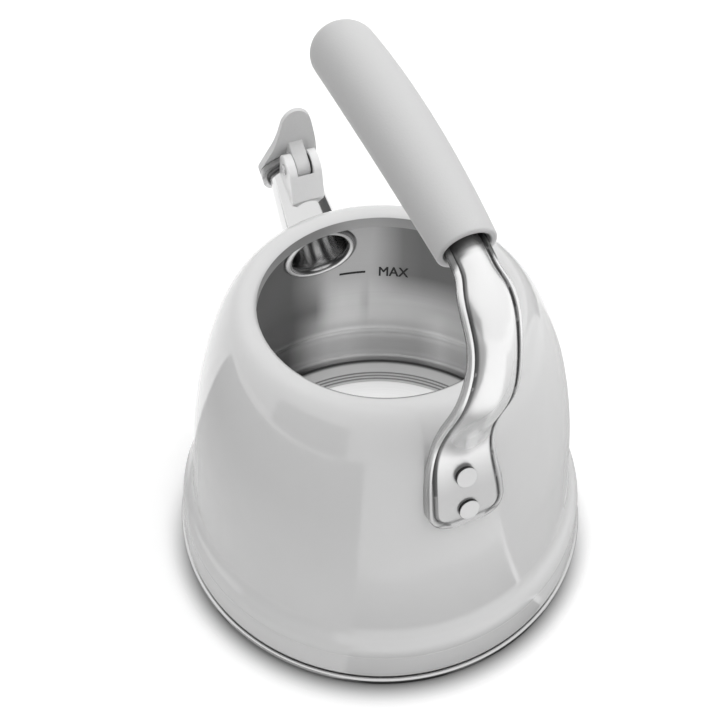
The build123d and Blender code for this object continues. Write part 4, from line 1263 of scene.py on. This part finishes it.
class KETTLE_OT_mark(bpy.types.Operator):
    """Print the fill mark on the inside of the wall"""

    bl_idname = "kettle.mark"
    bl_label = "Fill Mark"
    bl_options = {"REGISTER", "UNDO"}

    line_from: bearing("Line from", "Where the line starts", -8.4)
    line_to: bearing("Line to", "Where the line ends", -17.6)
    word_from: bearing("Word from", "Where the word starts", -22.0)
    height: length("Height", "Height of the line", 0.0766)

    def execute(self, context):
        def wrap(piece, turn, z):
            """Lays a flat drawing in the XY plane against the inside of the wall."""
            for vertex in piece.data.vertices:
                level = (z + vertex.co.y) / MM
                radius = wall_radius(level) - SHEET / wall_out(level)[0] - MARK_LIFT - vertex.co.z / MM
                a = turn - vertex.co.x / (radius * MM)
                vertex.co = Vector((radius * cos(a), radius * sin(a), level)) * MM

        bpy.ops.object.mode_set(mode="OBJECT")
        bpy.ops.object.select_all(action="DESELECT")
        bpy.ops.object.text_add()
        word = context.object
        word.data.body = "MAX"
        word.data.size = sizes().mark_height / CAPITAL_SHARE
        bpy.ops.object.convert(target="MESH")
        edit(word)
        bpy.ops.transform.resize(value=(WORD_SQUEEZE, 1.0, 1.0), center_override=(0.0, 0.0, 0.0))
        for shift in STROKE_SHIFTS:
            bpy.ops.mesh.duplicate_move(TRANSFORM_OT_translate={"value": Vector(shift) * MM})
        bpy.ops.object.mode_set(mode="OBJECT")
        wrap(word, self.word_from, self.height - sizes().mark_height / 2)

        reach = (self.line_from - self.line_to) * (wall_radius(self.height / MM) - SHEET) * MM
        line = begin(bpy.ops.mesh.primitive_plane_add, size=1.0)
        bpy.ops.mesh.subdivide(number_cuts=12)
        bpy.ops.transform.resize(value=(reach, sizes().mark_line, 1.0), center_override=(0.0, 0.0, 0.0))
        bpy.ops.transform.translate(value=(reach / 2, 0.0, 0.0))
        bpy.ops.object.mode_set(mode="OBJECT")
        wrap(line, self.line_from, self.height)
        ink = surface("fill_print")
        ink.node_tree.nodes["Principled BSDF"].inputs["Specular IOR Level"].default_value = PRINT_SHINE
        finish(joined([word, line]), "fill_mark", ink)
        return {"FINISHED"}


class KETTLE_OT_fittings(bpy.types.Operator):
    """Give the small fittings and the hidden pieces their finishes"""

    bl_idname = "kettle.fittings"
    bl_label = "Fittings"
    bl_options = {"REGISTER", "UNDO"}

    def execute(self, context):
        for look, nodes in FITTINGS.items():
            for piece in [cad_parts[node] for node in nodes]:
                piece.data.materials.clear()
                piece.data.materials.append(surface(look))
        return {"FINISHED"}


class KETTLE_OT_stage(bpy.types.Operator):
    """Set the pale floor, the soft lights, the white surround and the camera"""

    bl_idname = "kettle.stage"
    bl_label = "Stage"
    bl_options = {"REGISTER", "UNDO"}

    def execute(self, context):
        scene = context.scene
        place = (0.0, 0.0, -STAGE_DROP * MM)
        floor = begin(bpy.ops.mesh.primitive_plane_add, size=STAGE_SIZE, location=place)
        only(floor)
        bpy.ops.object.transform_apply(location=True)
        floor.name = "studio_floor"
        floor.data.materials.append(floor_paper())

        # suns: name, place, width in degrees and strength
        lamps = (
            ("overhead_lamp", (0.0, -0.05, 1.4), 110.0, 2.5),
            ("key_lamp", (-0.2, -0.9, 1.3), 60.0, 0.45),
        )
        for name, place, width, power in lamps:
            bpy.ops.object.light_add(type="SUN", location=place)
            lamp = context.object
            lamp.name = name
            lamp.data.angle = radians(width)
            lamp.data.energy = power
            lamp.rotation_euler = (-Vector(place)).to_track_quat("-Z", "Y").to_euler()
            lamp.visible_glossy = False

        bpy.ops.object.light_add(type="POINT", location=INSIDE_LAMP_AT)
        lamp = context.object
        lamp.name = "inside_lamp"
        lamp.data.shadow_soft_size = 0.02
        lamp.data.energy = 0.48
        lamp.visible_glossy = lamp.visible_camera = False

        def around(turn, radius, z):
            return Vector((radius * cos(radians(turn)), radius * sin(radians(turn)), z))

        # cards that only reflections see, for painted reflections of shade on the floor and of dark
        # surroundings: corners, tones near and far, and how far the change reaches
        upright = ((0.15, 0.0), (0.65, 0.0), (0.65, 0.75), (0.15, 0.75))
        wedge = ((147.5, 0.097), (110, 0.097), (75, 0.097), (50, 0.097), (50, 1.2), (147.5, 1.2))
        screen = ((92, 0.0), (138, 0.0), (138, 0.55), (92, 0.55))
        beside = ((-70, 0.09), (-110, 0.097), (-150, 0.097), (-150, 0.5), (-110, 0.5), (-70, 0.5))
        ahead = ((147.5, 0.098), (180, 0.098), (208, 0.098), (208, 0.15), (180, 0.15), (147.5, 0.15))
        cards = (
            ("side_card", [(x, -0.7, z) for x, z in upright], (0.16, 0.16), 0.2),
            ("left_card", [around(a, r, 0.001) for a, r in wedge], (0.8, 0.27), 0.24),
            ("left_screen", [around(a, 1.2, z) for a, z in screen], (0.3, 0.3), 0.2),
            ("right_card", [around(a, r, 0.001) for a, r in beside], (0.55, 0.85), 0.3),
            ("front_card", [around(a, r, 0.0008) for a, r in ahead], (0.1, 0.93), 0.15),
        )
        for name, corners, tones, reach in cards:
            card = begin_ring([Vector(place) / MM for place in corners])
            bpy.ops.mesh.edge_face_add()
            only(card)
            card.name = name
            card.data.materials.append(card_paper(name, tones, reach))
            for rays in ("camera", "diffuse", "shadow", "transmission"):
                setattr(card, f"visible_{rays}", False)

        world = bpy.data.worlds.new("studio_surround")
        scene.world = world
        world.use_nodes = True
        tree = world.node_tree
        level = add(tree, "MapRange", seen_rays(tree), 0.0, 1.0, WORLD_LIGHT, 1.0)
        feed(tree, tree.nodes["Background"].inputs["Strength"], level.outputs["Result"])
        feed(tree, tree.nodes["Background"].inputs["Color"], paint(1.0))

        bpy.ops.object.camera_add()
        camera = context.object
        camera.name = "photo_camera"
        turn = Matrix((CAMERA_RIGHT, CAMERA_UP, CAMERA_RIGHT.cross(CAMERA_UP))).transposed()
        camera.matrix_world = Matrix.Translation(CAMERA_AT * MM) @ turn.to_4x4()
        camera.data.sensor_width = 36.0
        camera.data.lens = 50.0
        camera.data.clip_start = 0.01
        scene.camera = camera
        scene.view_settings.view_transform = "Standard"
        return {"FINISHED"}


class KETTLE_PT_panel(bpy.types.Panel):
    bl_idname = "KETTLE_PT_panel"
    bl_label = "Kettle"
    bl_space_type = "VIEW_3D"
    bl_region_type = "UI"
    bl_category = "Kettle"

    def draw(self, context):
        layout = self.layout
        for group in (context.scene.kettle_sizes, context.scene.kettle_colours):
            column = layout.column(align=True)
            for name in group.__annotations__:
                column.prop(group, name)
        column = layout.column(align=True)
        for operator in OPERATORS:
            column.operator(operator.bl_idname)


OPERATORS = (
    KETTLE_OT_body,
    KETTLE_OT_base,
    KETTLE_OT_spout,
    KETTLE_OT_cap,
    KETTLE_OT_handle,
    KETTLE_OT_grip,
    KETTLE_OT_mark,
    KETTLE_OT_fittings,
    KETTLE_OT_stage,
)


def register():
    for kind in (KettleSizes, KettleColours, *OPERATORS, KETTLE_PT_panel):
        bpy.utils.register_class(kind)
    bpy.types.Scene.kettle_sizes = PointerProperty(type=KettleSizes)
    bpy.types.Scene.kettle_colours = PointerProperty(type=KettleColours)


def unregister():
    del bpy.types.Scene.kettle_colours
    del bpy.types.Scene.kettle_sizes
    for kind in (KETTLE_PT_panel, *reversed(OPERATORS), KettleColours, KettleSizes):
        bpy.utils.unregister_class(kind)


def main():
    register()
    bpy.ops.kettle.body()
    bpy.ops.kettle.base()
    bpy.ops.kettle.spout()
    bpy.ops.kettle.cap()
    bpy.ops.kettle.handle()
    bpy.ops.kettle.grip()
    bpy.ops.kettle.mark()
    bpy.ops.kettle.fittings()
    bpy.ops.kettle.stage()


if __name__ == "__main__":
    main()
